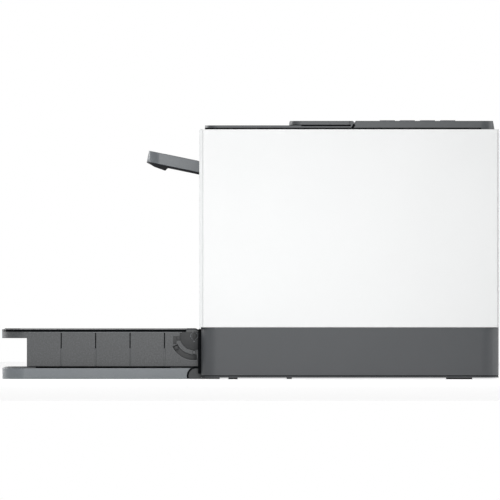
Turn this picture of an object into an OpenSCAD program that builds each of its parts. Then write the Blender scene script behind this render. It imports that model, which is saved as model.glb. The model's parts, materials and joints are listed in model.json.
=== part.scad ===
// Desktop laser printer. Origin under the middle of its whole outline, on the surface it stands on.
// The user faces -Y, +Z is up, and the paper tray is down with its dust cover shut.

/* [Housing] */
// Width of the housing
body_w = 360; // [352:1:380]
// Depth of the housing, from its front face to its rear panel
body_d = 270; // [266:1:290]
// Height of the white housing above the dark base
housing_h = 178.2; // [178:0.2:190]
// Height of the dark base
base_h = 45.4; // [45:0.2:48]
// Height of the base above the surface it stands on
base_clear = 1.6; // [1.4:0.1:2]
// Thickness of a moulded wall
wall = 2.4; // [2:0.1:2.6]
// Corner radius of the base, seen from above
base_corner_r = 16; // [10:1:18]
// Thickness of the front bezel
bezel_t = 3.2; // [2.6:0.1:3.6]

/* [Top] */
// Thickness of the dark lid
lid_t = 3.4; // [3:0.1:4]
// Height of the control deck above the housing
deck_h = 7.6; // [7.4:0.1:9]
// Distance of the output bin from the housing's side
bin_side = 62; // [60:1:67]
// Length of the exit flap from front to back
flap_d = 56; // [40:1:60]
// Slope of the bin floor and of the output support
bin_slope = 11.7; // [10:0.1:12]
// Opening angle of the lid
lid_open = 60; // [30:1:60]

/* [Output support] */
// Width of the output support
arm_w = 110; // [80:1:112]
// Length of the output support outside the housing
arm_out = 46.8; // [46:0.1:52]
// Length of the output support inside its rails
arm_in = 40; // [30:1:50]
// Thickness of the output support
arm_t = 10; // [8:0.5:10]
// Travel of the output support when it is pushed in
arm_travel = 26; // [10:1:26]

/* [Paper tray] */
// How far the tray stands out in front of the housing
tray_reach = 178; // [170:1:178]
// Distance of the tray from the housing's side
tray_side = 22; // [22:1:24]
// Thickness of the tray
tray_t = 9.7; // [9.6:0.1:10]
// Distance of the dust cover's side from the tray's side
cover_side = 6; // [6:0.5:7]
// Height of the dust cover's top face above the tray
cover_rise = 34.9; // [34:0.1:35]
// Distance between the width guides, for the widest sheet
sheet_w = 210; // [190:1:216]

/* [Rollers and gears] */
// Radius of the photoconductor drum
drum_r = 12; // [10:0.5:12]
// Radius of the fuser rollers
fuser_r = 10; // [8:0.5:10]
// Radius of the pickup roller
pickup_r = 14; // [12:0.5:14]
// Radius of the registration rollers
feed_r = 7; // [6:0.5:7]
// Radius of the exit roller
exit_r = 6; // [5:0.5:6]
// Width of a gear
gear_w = 6; // [4:0.5:6]

/* [Controls and connections] */
// Size of a key from front to back
key_d = 13.5; // [11:0.5:14]
// Size of a key from side to side
key_w = 16; // [12:0.5:18]
// Height of a key above the deck
key_rise = 0.6; // [0.5:0.1:1]
// Width of the power inlet
inlet_w = 28; // [26:0.5:30]
// Side of the square cooling fan
fan_w = 40; // [36:1:40]

/* [Hidden] */
$fn = 64;

// Colours, as the object shows them
white = "#f3f5f4";
dark = "#5c5f62";
black = "#1d2023";
grey = "#868d90";
steel = "#a9adb0";
rubber = "#2c2d2e";
green = "#2f6b47";

// Clearances. One overrun serves every cut.
eps = 0.5;
seam = 0.3;
slip = 0.5;
run_gap = 0.05;
press_gap = 0.02;
nip = 0.3;

// Main planes
rear_y = (body_d + tray_reach) / 2;
face_y = rear_y - body_d;
tip_y = face_y - tray_reach;
base_z0 = base_clear;
base_z1 = base_z0 + base_h;
top_z = base_z1 + housing_h;
half_w = body_w / 2;
tray_w = body_w - 2 * tray_side;
cover_w = tray_w - 2 * cover_side;
bin_w = body_w - 2 * bin_side;
inner_half = half_w - wall;

// A range of distances behind the front face, above the base floor, above the base, across
function deep(d) = [for (v = d) face_y + v];
function high(d) = [for (v = d) base_z1 + v];
function both(h) = [-h, h];
function about(c, h) = [c - h, c + h];
function inset(v, d) = [v[0] + d, v[1] - d];
function onward(v, size) = [v, v + size];

// Base
base_setback = 1.7;
base_rear_gap = 0.4;
base_front_y = face_y + base_setback;
base_rear_y = rear_y - base_rear_gap;
base_floor_t = 3;
base_floor_z = base_z0 + base_floor_t;
bay_gap = 2.5;
bay_half = tray_w / 2 + bay_gap;
bay_d = 43;
bay_rear_y = face_y + bay_d;
rib_t = 2;
shelf_rise = 4.9;
shelf_z = base_floor_z + shelf_rise;
shelf_inset = 12;

// Tray hinge and dust cover pivot
hinge_ahead = 3;
hinge_z = 3.15;
hinge_y = face_y - hinge_ahead;
hinge_pin_r = 1.5;
hinge_barrel_r = 2.7;
knuckle_r = 6.75;
knuckle_gap = 1.55;
tray_z0 = 0.4;
tray_z1 = tray_z0 + tray_t;
tray_tip_gap = 0.2;
tray_tip_y = tip_y + tray_tip_gap;
tray_corner_r = 20;
cover_z1 = tray_z1 + cover_rise;
folded_tray_y = hinge_y + tray_z1 - hinge_z;
pivot_ahead = 4.8;
pivot_y = face_y - pivot_ahead;
pivot_drop = 5.9;
pivot_z = cover_z1 - pivot_drop;
pivot_r = 3.4;
ear_t = 4.6;
cover_half = cover_w / 2;
ear_x1 = cover_half - wall - slip;
ear_x0 = ear_x1 - ear_t;
ear_round = 4.2;
ear_d = 21;
ear_rise = 24;
stop_r = 1.8;
stop_radius = 19.2;
stop_angle = 34;
stop_slot_half = 2.55;
stop_y = pivot_y - stop_radius * cos(stop_angle);
stop_z = pivot_z - stop_radius * sin(stop_angle);
stop_margin = stop_slot_half / stop_radius * 180 / PI;
cover_open = 56;
bracket_x0 = cover_half + 3 * slip;
bracket_w = 4.5;
bracket_tail = 16.7;
bracket_rear_y = base_front_y + bracket_tail;

// Lid, deck and their hinge, which lies behind and under the deck's front edge
lid_inset = 5.1;
lid_d = 131.6;
lid_front_y = face_y + lid_inset;
lid_rear_y = lid_front_y + lid_d;
lid_slant = 2.2;
lid_z0 = top_z + seam / 2;
lid_z1 = lid_z0 + lid_t;
lid_edge = 1.6;
lid_half = half_w - lid_edge;
lid_corner_r = 12.6;
lid_hinge_back = 37.3;
lid_hinge_drop = 5.7;
lid_hinge_y = lid_rear_y + lid_hinge_back;
lid_hinge_z = top_z - lid_hinge_drop;
lid_pin_r = 2.5;
lid_boss_r = 5;
lid_arm_side = 15;
lid_arm_x0 = half_w - lid_arm_side;
lid_arm_t = 4;
lid_arm_r = [38, 45.5];
lid_arm_angles = [171, 242];
lid_link_angles = [242, 255];
deck_gap = 1.3;
deck_front_y = lid_rear_y + deck_gap;
deck_slant = 2.8;
deck_rear_gap = 4.2;
deck_rear_slant = 1.4;
deck_rear_y = rear_y - deck_rear_gap;
deck_z0 = top_z;
deck_z1 = deck_z0 + deck_h;
deck_corner_r = 12;
bin_half = bin_w / 2;
bin_sink = 25.4;
bin_front_z = top_z - bin_sink;
bin_rear_gap = 4.3;
bin_rear_y = lid_rear_y - bin_rear_gap;
exit_slot_low = 27;
exit_slot_high = 6;
arm_top_z = bin_front_z - wall / cos(bin_slope) - seam;
rail_gap = 0.5;
rail_lip = 6;
rail_lip_t = 1.6;
grip_t = 1.8;
flap_h = 3.9;
flap_z0 = lid_z1 + seam / 3;
flap_r = flap_h / 2;
flap_behind = 0.8;
flap_hinge_y = lid_rear_y + flap_behind;
flap_hinge_z = flap_z0 + flap_r;
flap_open = 75;
flap_corner_r = 12;

// Paper path: distances behind the front face, heights above the base
shaft_r = 3;
pickup_back = 116;
pickup_rise = 17.9;
pickup_y = face_y + pickup_back;
pickup_z = base_floor_z + pickup_rise + pickup_r;
feed_back = 147;
feed_rise = 17;
feed_y = face_y + feed_back;
feed_z = base_z1 + feed_rise;
feed_idler_y = feed_y + 2 * feed_r + nip;
drum_back = 146.5;
drum_rise = 51;
drum_y = face_y + drum_back;
drum_z = base_z1 + drum_rise;
transfer_r = 7.5;
transfer_y = drum_y + drum_r + nip + transfer_r;
heat_back = 149;
heat_rise = 111;
heat_y = face_y + heat_back;
heat_z = base_z1 + heat_rise;
pressure_y = heat_y + 2 * fuser_r + nip;
exit_back = 146;
exit_rise = 153;
exit_y = face_y + exit_back;
exit_z = base_z1 + exit_rise;
pinch_r = 5;
pinch_z = exit_z + exit_r + nip + pinch_r;
roller_side = 42;
frame_side = 30;
frame_half = half_w - frame_side;
roller_half = frame_half - roller_side;
drum_side = 38;
drum_half = frame_half - drum_side;

// Frame plates and the gear train outside the left one
frame_t = 1.2;
frame_inner = frame_half - frame_t;
frame_depth = [45, 216];
frame_drop = 6;
frame_top_z = top_z - frame_drop;
gear_stand = 6;
gear_x = -frame_half - gear_stand;
gear_m = 1;
gear_shaft_end = 1.5;
stud_r = 2.5;
stud_head_r = 3.6;
stud_head_t = 1;
drum_teeth = 36;
feed_teeth = 21;
pickup_teeth = 42;
heat_teeth = 30;
exit_teeth = 18;
pinion_teeth = 16;
motor_feed_teeth = 34;
feed_pickup_teeth = 16;
feed_drum_teeth = 18;
drum_fuser_teeth = 30;
fuser_exit_teeth = 20;
motor_back = 196;
motor_rise = 15;
motor_y = face_y + motor_back;
motor_z = base_z1 + motor_rise;
motor_r = 18;
motor_len = 26;
motor_shaft_r = 1.6;
tooth_backlash_share = 0.06;

feed_c = [feed_y, feed_z];
drum_c = [drum_y, drum_z];
heat_c = [heat_y, heat_z];
exit_c = [exit_y, exit_z];
pickup_c = [pickup_y, pickup_z];
motor_c = [motor_y, motor_z];
motor_feed_c = between(motor_c, pinion_teeth, feed_c, feed_teeth, motor_feed_teeth, 1);
feed_pickup_c = between(pickup_c, pickup_teeth, feed_c, feed_teeth, feed_pickup_teeth, -1);
feed_drum_c = between(feed_c, feed_teeth, drum_c, drum_teeth, feed_drum_teeth, 1);
drum_fuser_c = between(drum_c, drum_teeth, heat_c, heat_teeth, drum_fuser_teeth, -1);
fuser_exit_c = between(heat_c, heat_teeth, exit_c, exit_teeth, fuser_exit_teeth, -1);

// The phase of each gear follows from the one it meshes with, starting at the drum gear
drum_phase = 0;
feed_drum_phase = mesh_phase(drum_c, drum_phase, drum_teeth, feed_drum_c, feed_drum_teeth);
feed_phase = mesh_phase(feed_drum_c, feed_drum_phase, feed_drum_teeth, feed_c, feed_teeth);
feed_pickup_phase = mesh_phase(feed_c, feed_phase, feed_teeth, feed_pickup_c, feed_pickup_teeth);
pickup_phase = mesh_phase(feed_pickup_c, feed_pickup_phase, feed_pickup_teeth, pickup_c, pickup_teeth);
motor_feed_phase = mesh_phase(feed_c, feed_phase, feed_teeth, motor_feed_c, motor_feed_teeth);
pinion_phase = mesh_phase(motor_feed_c, motor_feed_phase, motor_feed_teeth, motor_c, pinion_teeth);
drum_fuser_phase = mesh_phase(drum_c, drum_phase, drum_teeth, drum_fuser_c, drum_fuser_teeth);
heat_phase = mesh_phase(drum_fuser_c, drum_fuser_phase, drum_fuser_teeth, heat_c, heat_teeth);
fuser_exit_phase = mesh_phase(heat_c, heat_phase, heat_teeth, fuser_exit_c, fuser_exit_teeth);
exit_phase = mesh_phase(fuser_exit_c, fuser_exit_phase, fuser_exit_teeth, exit_c, exit_teeth);

// Centre of an idler that meshes with gears a and b, to one side of the line between them
function between(a, za, b, zb, z, side) =
    let (ra = gear_m * (za + z) / 2, rb = gear_m * (zb + z) / 2, d = norm(b - a), u = (b - a) / d,
        along = (ra * ra - rb * rb + d * d) / (2 * d), off = sqrt(ra * ra - along * along))
    a + along * u + side * off * [-u[1], u[0]];

// Angle of a tooth of gear b that lets it mesh with gear a, whose tooth stands at phase
function mesh_phase(a, phase, za, b, zb) =
    let (line = atan2(b[1] - a[1], b[0] - a[0]))
    line + 180 + (line - phase) * za / zb + 180 / zb;

// Shapes that repeat
module span(x, y, z) {
    translate([x[0], y[0], z[0]]) cube([x[1] - x[0], y[1] - y[0], z[1] - z[0]]);
}

module rod_x(r, x, y, z) {
    translate([x[0], y, z]) rotate([0, 90, 0]) cylinder(r = r, h = x[1] - x[0]);
}

module rod_z(r, x, y, z) {
    translate([x, y, z[0]]) cylinder(r = r, h = z[1] - z[0]);
}

// An outline in Y and Z, extruded along X
module plate_x(x) {
    translate([x[0], 0, 0]) rotate([90, 0, 90]) linear_extrude(x[1] - x[0]) children();
}

module plate_z(z) {
    translate([0, 0, z[0]]) linear_extrude(z[1] - z[0]) children();
}

module on_both_sides() {
    children();
    mirror([1, 0, 0]) children();
}

// A rectangle whose corners at the low Y end have radius rf and at the high Y end radius rr
module round_rect(half, y, rf, rr) {
    polygon([[-half, y[0] + rf], [rf - half, y[0]], [half - rf, y[0]], [half, y[0] + rf],
        [half, y[1] - rr], [half - rr, y[1]], [rr - half, y[1]], [-half, y[1] - rr]]);
    for (side = [-1, 1]) {
        if (rf > 0) translate([side * (half - rf), y[0] + rf]) circle(rf);
        if (rr > 0) translate([side * (half - rr), y[1] - rr]) circle(rr);
    }
}

function arc(c, r, a, steps) = [for (i = [0:steps]) c + r * [cos(a[0] + (a[1] - a[0]) * i / steps),
    sin(a[0] + (a[1] - a[0]) * i / steps)]];

// A ring sector about c, in Y and Z
module sector(c, r, a, steps = 12) {
    polygon(concat(arc(c, r[1], a, steps), arc(c, r[0], [a[1], a[0]], steps)));
}

// A spur gear about c, with a tooth at angle phase, and the points of one involute flank
pressure_angle = 20;
addendum_share = 0.8;
dedendum_share = 1.1;
flank_steps = 4;

function involute(base, r) = let (a = acos(base / r)) tan(a) * 180 / PI - a;

module gear_outline(teeth, m) {
    rp = m * teeth / 2;
    base = rp * cos(pressure_angle);
    root = rp - dedendum_share * m;
    tip = rp + addendum_share * m;
    start = max(base, root);
    pitch = 360 / teeth;
    half = pitch * (1 / 4 - tooth_backlash_share / 2) + involute(base, rp);
    flank = [for (i = [0:flank_steps]) start + (tip - start) * i / flank_steps];
    polygon([for (k = [0:teeth - 1]) each concat(
        [root * [cos(k * pitch - half), sin(k * pitch - half)]],
        [for (r = flank) r * [cos(k * pitch - half + involute(base, r)),
            sin(k * pitch - half + involute(base, r))]],
        [for (i = [flank_steps:-1:0]) let (r = flank[i]) r * [cos(k * pitch + half - involute(base, r)),
            sin(k * pitch + half - involute(base, r))]],
        [root * [cos(k * pitch + half), sin(k * pitch + half)]])]);
}

module gear(c, teeth, phase, bore_r) {
    difference() {
        plate_x([gear_x - gear_w, gear_x]) translate(c) rotate(phase) gear_outline(teeth, gear_m);
        rod_x(bore_r, [gear_x - gear_w - eps, gear_x + eps], c[0], c[1]);
    }
}

// A roller: shaft through both frame plates, with sleeves in the given ranges of X
module roller(c, r, sleeves, left_x = -frame_half - gear_shaft_end) {
    rod_x(shaft_r, [left_x, frame_half + gear_shaft_end], c[0], c[1]);
    for (x = sleeves) rod_x(r, x, c[0], c[1]);
}
geared_x = gear_x - gear_w - gear_shaft_end;

// Fixed body
base_rib_back = [44, 112];

module base_pan() color(dark) {
    difference() {
        union() {
            difference() {
                plate_z([base_z0, base_z1])
                    round_rect(half_w, [base_front_y, base_rear_y], base_corner_r, base_corner_r);
                plate_z([base_floor_z, base_z1 + eps])
                    round_rect(inner_half, [base_front_y + wall, base_rear_y - wall],
                        base_corner_r - wall, base_corner_r - wall);
                // the front is open for the tray
                span(both(bay_half), [base_front_y - eps, base_front_y + base_corner_r],
                    [base_floor_z, base_z1 + eps]);
            }
            on_both_sides() span(onward(bay_half, rib_t), [base_front_y + seam, bay_rear_y],
                [base_z0, base_z1]);
            span(both(ear_x0 - shelf_inset + rib_t), [folded_tray_y + slip, bay_rear_y],
                [base_z0, shelf_z]);
            on_both_sides() span(onward(lift_half + lift_gap, rib_t + rib_t), deep(base_rib_back),
                [base_z0, lift_z + lift_boss_r]);
        }
        // slots that let the tray's ears and the cover's cheeks swing in
        on_both_sides() span([ear_x0 - slip, cover_half + slip], [base_front_y - eps, bay_rear_y - rib_t],
            [base_z0 - eps, base_floor_z + eps]);
        rod_x(lift_pin_r + run_gap, both(lift_half + lift_gap + rib_t), lift_y, lift_z);
    }
}

foot_front_r = 4.2;
foot_front_back = 30.3;
foot_rear = [222.5, 246];
foot_rear_w = 20;
foot_inset = 42;
nub_back = 81;
nub_r = 2.4;
nub_h = 1.3;

module rubber_feet() color(rubber) {
    on_both_sides() {
        rod_z(foot_front_r, half_w - foot_inset, face_y + foot_front_back, [0, base_z0]);
        span(onward(half_w - foot_inset - foot_rear_w / 2, foot_rear_w), deep(foot_rear), [0, base_z0]);
        rod_z(nub_r, half_w - foot_inset, face_y + nub_back, [base_z0 - nub_h, base_z0]);
    }
}

module tray_hinge_brackets() color(dark) on_both_sides() difference() {
    union() {
        intersection() {
            rod_x(knuckle_r, onward(bracket_x0, bracket_w), hinge_y, hinge_z);
            span(onward(bracket_x0 - eps, bracket_w + 2 * eps),
                [hinge_y - 2 * knuckle_r, base_front_y - seam / 3], [tray_z0, hinge_z + 2 * knuckle_r]);
        }
        span(onward(bracket_x0, bracket_w), [hinge_y, bracket_rear_y], [tray_z0, base_z0]);
    }
    rod_x(hinge_pin_r + run_gap, onward(bracket_x0 - eps, bracket_w - wall / 3), hinge_y, hinge_z);
}

panel_flange = 6;
panel_top_t = 2.4;

module side_panel() {
    span([inner_half, half_w], [face_y + bezel_t + seam / 2, panel_rear_y], [base_z1, top_z]);
    span([inner_half - panel_flange, inner_half], [face_y + bezel_t + seam / 2, rear_in_y - seam],
        [top_z - panel_top_t, top_z]);
    span([inner_half - panel_flange, inner_half], [bay_rear_y, panel_rear_y - base_corner_r],
        [base_z1, base_z1 + panel_top_t]);
    difference() {
        for (z = screw_z) span([inner_half - screw_boss_w, inner_half],
            [rear_in_y - seam - screw_boss_d, rear_in_y - seam], about(z, screw_boss_h / 2));
        screw_places(rear_y) cylinder(r = screw_r, h = screw_l + eps);
    }
    difference() {
        rod_x(lid_boss_r, [lid_arm_x0 + lid_arm_t + slip, inner_half], lid_hinge_y, lid_hinge_z);
        rod_x(lid_pin_r + run_gap, [lid_arm_x0, inner_half], lid_hinge_y, lid_hinge_z);
    }
}
rear_rim_t = 1.1;
panel_rear_y = rear_y - rear_rim_t - seam;

module side_panel_right() color(white) side_panel();
module side_panel_left() color(white) mirror([1, 0, 0]) side_panel();

bay_top_drop = 40.9;
bay_top_z = top_z - bay_top_drop;
bay_mid_drop = 45.9;
bay_mid_half = 70;
bezel_mid_d = 5;
bezel_notch = 1.2;
bezel_foot_drop = 1.5;

module front_bezel() color(white) difference() {
    union() {
        span(both(half_w), [face_y, face_y + bezel_t], [base_z1 - bezel_foot_drop, top_z]);
        span(both(bay_mid_half), [face_y, face_y + bezel_mid_d], [top_z - bay_mid_drop, bay_top_z + wall]);
    }
    span(both(bay_half), [face_y - eps, face_y + bezel_t + eps], [base_z0, top_z - bay_mid_drop]);
    on_both_sides() span([bay_mid_half, bay_half], [face_y - eps, face_y + bezel_t + eps],
        [base_z0, bay_top_z]);
    span(both(arm_w / 2 + rail_gap + 2 * wall), [face_y - eps, face_y + bezel_mid_d + eps],
        [bay_top_z - bezel_notch, top_z + eps]);
    span(both(bin_half), [face_y - eps, face_y + bezel_mid_d + eps], [bin_front_z, top_z + eps]);
    // the feet of the bezel stop at the corners of the base
    span(both(half_w + eps), [base_front_y - seam / 3, face_y + bezel_mid_d], [base_z0, base_z1 + seam / 3]);
}

liner_top_drop = 42;
liner_t = 1.6;
liner_back_drop = 53;

module bay_liner() color(dark) {
    on_both_sides() span(onward(bay_half, liner_t), [face_y + bezel_t + seam / 3, bay_rear_y],
        [base_z1, top_z - liner_top_drop]);
    // the rear wall stays below the output support and its rails
    span(both(bay_half), [bay_rear_y - liner_t, bay_rear_y], [base_z1, top_z - liner_back_drop]);
}

door_side = 63.6;
door_half = half_w - door_side;
door_gap = 0.6;
door_above = 25.3;
door_below = 29.6;
door_z = [base_z1 + door_above, top_z - door_below];
door_pin_r = 1.2;
door_barrel_r = 2;
door_pin_l = 5;
door_hinge_y = rear_y - door_barrel_r;
door_hinge_z = door_z[0] + seam + door_barrel_r;
door_boss = 8;
vent_slots = 7;
vent_pitch = 6;
vent_slot_h = 2.6;
inlet_h = 20;
inlet_d = 22;
inlet_side = 40;
inlet_x = half_w - inlet_side;
inlet_rise = 18;
inlet_z = base_z1 + inlet_rise;
rocker_w = 14;
rocker_h = 20;
rocker_rise = 26;
rocker_z = inlet_z + inlet_h / 2 + rocker_rise;
rocker_pin_r = 1.5;
rocker_tilt = 6;
rocker_boss_d = 5;
rear_t = 2.4;
rear_in_y = rear_y - rear_t;
rocker_y = rear_in_y - rocker_boss_d / 2;
usb_w = 12;
usb_h = 11;
usb_rise = 88;
usb_z = base_z1 + usb_rise;
board_stand = 3;
usb_x = frame_half + board_stand;
board_t = 1.6;
fan_x = -frame_half;
fan_rise = 100;
fan_z = base_z1 + fan_rise;
fan_d = 10;

module rear_panel() color(white) difference() {
    union() {
        span(both(inner_half - seam), [rear_in_y, rear_y], [base_z1, top_z]);
        span(both(half_w), [rear_y - rear_rim_t, rear_y], [base_z1, top_z]);
        on_both_sides() span(onward(door_half + door_gap, door_boss), [rear_in_y - wall, rear_in_y],
            about(door_hinge_z, door_boss / 2));
        for (side = [-1, 1])
            span(about(inlet_x + side * (rocker_w / 2 + rib_t), rib_t - 2 * seam),
                [rear_in_y - rocker_boss_d, rear_in_y], about(rocker_z, rocker_boss_d / 2));
    }
    screw_places(rear_y) {
        translate([0, 0, -eps]) cylinder(r = screw_r, h = rear_t + 2 * eps);
        translate([0, 0, -eps]) cylinder(r = screw_head_r + press_gap, h = screw_head_t + eps);
    }
    rod_x(rocker_pin_r + run_gap, about(inlet_x, rocker_w / 2 + 2 * rib_t), rocker_y, rocker_z);
    span(both(door_half + door_gap), [rear_in_y - eps, rear_y + eps], door_z);
    rod_x(door_pin_r + run_gap, both(door_half + door_pin_l + slip), door_hinge_y, door_hinge_z);
    for (i = [0:vent_slots - 1]) span(about(fan_x, fan_w / 2 - rib_t),
        [rear_in_y - eps, rear_y + eps],
        about(fan_z + (i - (vent_slots - 1) / 2) * vent_pitch, vent_slot_h / 2));
    span(about(inlet_x, inlet_w / 2 + press_gap), [rear_in_y - eps, rear_y + eps],
        about(inlet_z, inlet_h / 2 + press_gap));
    span(about(inlet_x, rocker_w / 2 + seam), [rear_in_y - eps, rear_y + eps],
        about(rocker_z, rocker_h / 2 + seam));
    span(onward(usb_x + board_t - seam, usb_w + 2 * seam), [rear_in_y - eps, rear_y + eps],
        onward(usb_z - seam, usb_h + 2 * seam));
}

key_inset = 24;
key_x = half_w - key_inset;
key_back = [169.4, 187.4, 205.6, 223.8];
key_gap = 0.3;
key_travel = 0.5;
key_skirt = 5;
key_stem_w = 4;
deck_wall = 2;

module control_deck() color(dark) difference() {
    deck_solid(0);
    intersection() {
        deck_solid(deck_wall);
        span(both(half_w), [face_y, rear_y], [deck_z0 - eps, deck_z1 - deck_wall]);
    }
    for (back = key_back) span(about(key_x, key_w / 2 + key_gap),
        about(face_y + back, key_d / 2 + key_gap), [deck_z0, deck_z1 + eps]);
}

module deck_solid(t) {
    intersection() {
        plate_z([deck_z0 - (t > 0 ? eps : 0), deck_z1])
            round_rect(lid_half - t, [deck_front_y, deck_rear_y - t], 0, deck_corner_r);
        plate_x(both(half_w)) polygon([[deck_front_y + t, deck_z0 - eps], [deck_front_y + t, deck_z0],
            [deck_front_y + deck_slant + t, deck_z1], [deck_rear_y - deck_rear_slant - t, deck_z1],
            [deck_rear_y - t, deck_z0], [deck_rear_y - t, deck_z0 - eps]]);
    }
}

frame_foot = 12;

module frame_plate() {
    span([frame_inner, frame_half], deep(frame_depth), [base_floor_z, frame_top_z]);
    span([frame_inner - frame_foot, frame_inner], deep(frame_depth),
        [base_floor_z, base_floor_z + frame_t]);
}

module frame_bores(side) {
    x = side * [frame_inner - eps, frame_half + eps];
    for (c = [pickup_c, feed_c, [feed_idler_y, feed_z], drum_c, [transfer_y, drum_z], heat_c,
        [pressure_y, heat_z], exit_c, [exit_y, pinch_z]])
        rod_x(shaft_r + run_gap, [min(x), max(x)], c[0], c[1]);
}

module side_frame_right() color(steel) difference() {
    frame_plate();
    frame_bores(1);
}

module side_frame_left() color(steel) {
    difference() {
        mirror([1, 0, 0]) frame_plate();
        frame_bores(-1);
        rod_x(motor_shaft_r + slip, [-frame_half - eps, -frame_inner + eps], motor_y, motor_z);
    }
    for (c = [motor_feed_c, feed_pickup_c, feed_drum_c, drum_fuser_c, fuser_exit_c]) {
        rod_x(stud_head_r, [gear_x + seam, -frame_half], c[0], c[1]);
        rod_x(stud_r, [gear_x - gear_w - seam, -frame_inner], c[0], c[1]);
        rod_x(stud_head_r, onward(gear_x - gear_w - seam - stud_head_t, stud_head_t), c[0], c[1]);
    }
}

guide_side = 35;
guide_half = frame_half - guide_side;
guide_r = [18.3, 20.3];
guide_back = 138;
guide_rise = 33.4;
guide_c = [face_y + guide_back, base_floor_z + guide_rise];

module paper_guide() color(dark) {
    plate_x(both(guide_half)) sector(guide_c, guide_r, [-90, 0]);
    on_both_sides() span([guide_half, frame_inner - seam], onward(guide_c[0] + guide_r[1] - rib_t, rib_t),
        [guide_c[1] - guide_r[0] / 2, guide_c[1]]);
    span(both(guide_half), about(guide_c[0], rib_t / 2), [base_floor_z, guide_c[1] - guide_r[0] - seam]);
}

pad_half = 22;
pad_depth = [109.5, 134];

module separation_pad() color(rubber) {
    span(both(pad_half), deep(pad_depth), [base_floor_z, pickup_z - pickup_r - nip]);
}

fuser_depth = [136.5, 182.5];
fuser_h = [94, 127];
fuser_side = 25;
fuser_half = frame_half - fuser_side;
fuser_slot = [154, 164];
fuser_end_t = 2;

module fuser_frame() color(black) difference() {
    union() {
        span(both(fuser_half), deep(fuser_depth), high(fuser_h));
        span(both(frame_inner - seam), deep(fuser_depth), onward(base_z1 + fuser_h[0], rib_t));
    }
    span(both(fuser_half - fuser_end_t), deep(inset(fuser_depth, rib_t)),
        high([fuser_h[0] + rib_t, fuser_h[1] + eps]));
    span(both(roller_half), deep(fuser_slot), high([fuser_h[0] - eps, fuser_h[0] + rib_t + eps]));
    rod_x(shaft_r + slip, both(fuser_half + eps), heat_y, heat_z);
    rod_x(shaft_r + slip, both(fuser_half + eps), pressure_y, heat_z);
}

// Outline of the toner hopper: distance behind the front face and height above the base
hopper = [[54, 49], [126, 49], [130, 66], [160, 66.5], [160, 74], [150, 90], [134, 91], [130, 104],
    [60, 108], [54, 100]];
hopper_hollow = [[56.4, 51.4], [123.6, 51.4], [128, 68.4], [157, 68.9], [157, 73], [148.6, 87.6],
    [132.2, 88.6], [128.2, 101.7], [61, 105.6], [56.4, 99]];
hopper_side = 32;
hopper_half = frame_half - hopper_side;
hopper_lug = [[76, 92], [70, 76]];

module toner_cartridge() color(black) translate([0, face_y, base_z1]) {
    difference() {
        plate_x(both(hopper_half)) polygon(hopper);
        plate_x(both(hopper_half - wall)) polygon(hopper_hollow);
    }
    on_both_sides() span([hopper_half, frame_inner - seam], hopper_lug[0], hopper_lug[1]);
}

scanner_half = drum_half;
scanner_depth = [50, 130];
scanner_h = [9, 38];
mirror_back = 84;
mirror_r = 13;
mirror_t = 6;
mirror_rise = 12;
mirror_boss_r = 11;

module scanner_case() color(black) {
    difference() {
        span(both(scanner_half), deep(scanner_depth), high(scanner_h));
        span(both(scanner_half - wall), deep(inset(scanner_depth, wall)),
            high(inset(scanner_h, wall)));
        span(both(roller_half), deep([scanner_depth[1] - wall - eps, scanner_depth[1] + eps]),
            high([scanner_h[1] - mirror_rise, scanner_h[1] - wall]));
    }
    difference() {
        rod_z(mirror_boss_r, 0, face_y + mirror_back, high([scanner_h[0] + wall, scanner_h[0] + mirror_rise - seam]));
        rod_z(shaft_r / 2 + run_gap, 0, face_y + mirror_back, high([scanner_h[0] + wall, scanner_h[0] + mirror_rise]));
    }
    on_both_sides() span([scanner_half, frame_inner - seam], deep(scanner_depth),
        high(onward(scanner_h[0], wall)));
}

module polygon_mirror() color(steel) union() {
    translate([0, face_y + mirror_back, base_z1 + scanner_h[0] + mirror_rise])
        cylinder(r = mirror_r, h = mirror_t, $fn = 6);
    rod_z(shaft_r / 2, 0, face_y + mirror_back, high([scanner_h[0] + wall + rib_t, scanner_h[0] + mirror_rise]));
}

module drive_motor() color(steel) difference() {
    rod_x(motor_r, onward(-frame_inner, motor_len), motor_y, motor_z);
    rod_x(motor_shaft_r + run_gap, onward(-frame_inner - eps, motor_len - rib_t), motor_y, motor_z);
}

module motor_pinion() color(steel) {
    gear(motor_c, pinion_teeth, pinion_phase, motor_shaft_r - press_gap);
    rod_x(motor_shaft_r, [gear_x - gear_w - seam, motor_len - frame_inner - 2 * rib_t], motor_y, motor_z);
}

main_depth = [200, 264];
main_h = [30, 150];
post_r = 2.5;
post_depth = [206, 258];
chip_t = 2;
chip_w = 22;
chip_depth = 216;
chip_rise = [50, 110];

// The main board stands on edge beside the right panel, and carries the data socket
module main_board() color(green) {
    x = usb_x;
    span(onward(x, board_t), deep(main_depth), high(main_h));
    for (rise = chip_rise) span(onward(x + board_t, chip_t), onward(face_y + chip_depth, chip_w),
        onward(base_z1 + rise, chip_w));
    difference() {
        span(onward(x + board_t, usb_w), [face_y + main_depth[1] - usb_d, rear_y - seam],
            onward(usb_z, usb_h));
        span(onward(x + board_t + usb_wall, usb_w - 2 * usb_wall),
            [face_y + main_depth[1] - usb_d + usb_wall, rear_y], onward(usb_z + usb_wall, usb_h - 2 * usb_wall));
    }
    for (back = post_depth) for (rise = inset(main_h, 2 * post_r))
        rod_x(post_r, [x + board_t, inner_half], face_y + back, base_z1 + rise);
}
usb_wall = 1.5;
usb_d = 14;

supply_x = [20, 118];
supply_depth = [196, 262];
supply_rise = 8;
coil_w = 26;
coil_h = 22;
capacitor_r = 9;
capacitor_h = 26;

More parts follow.
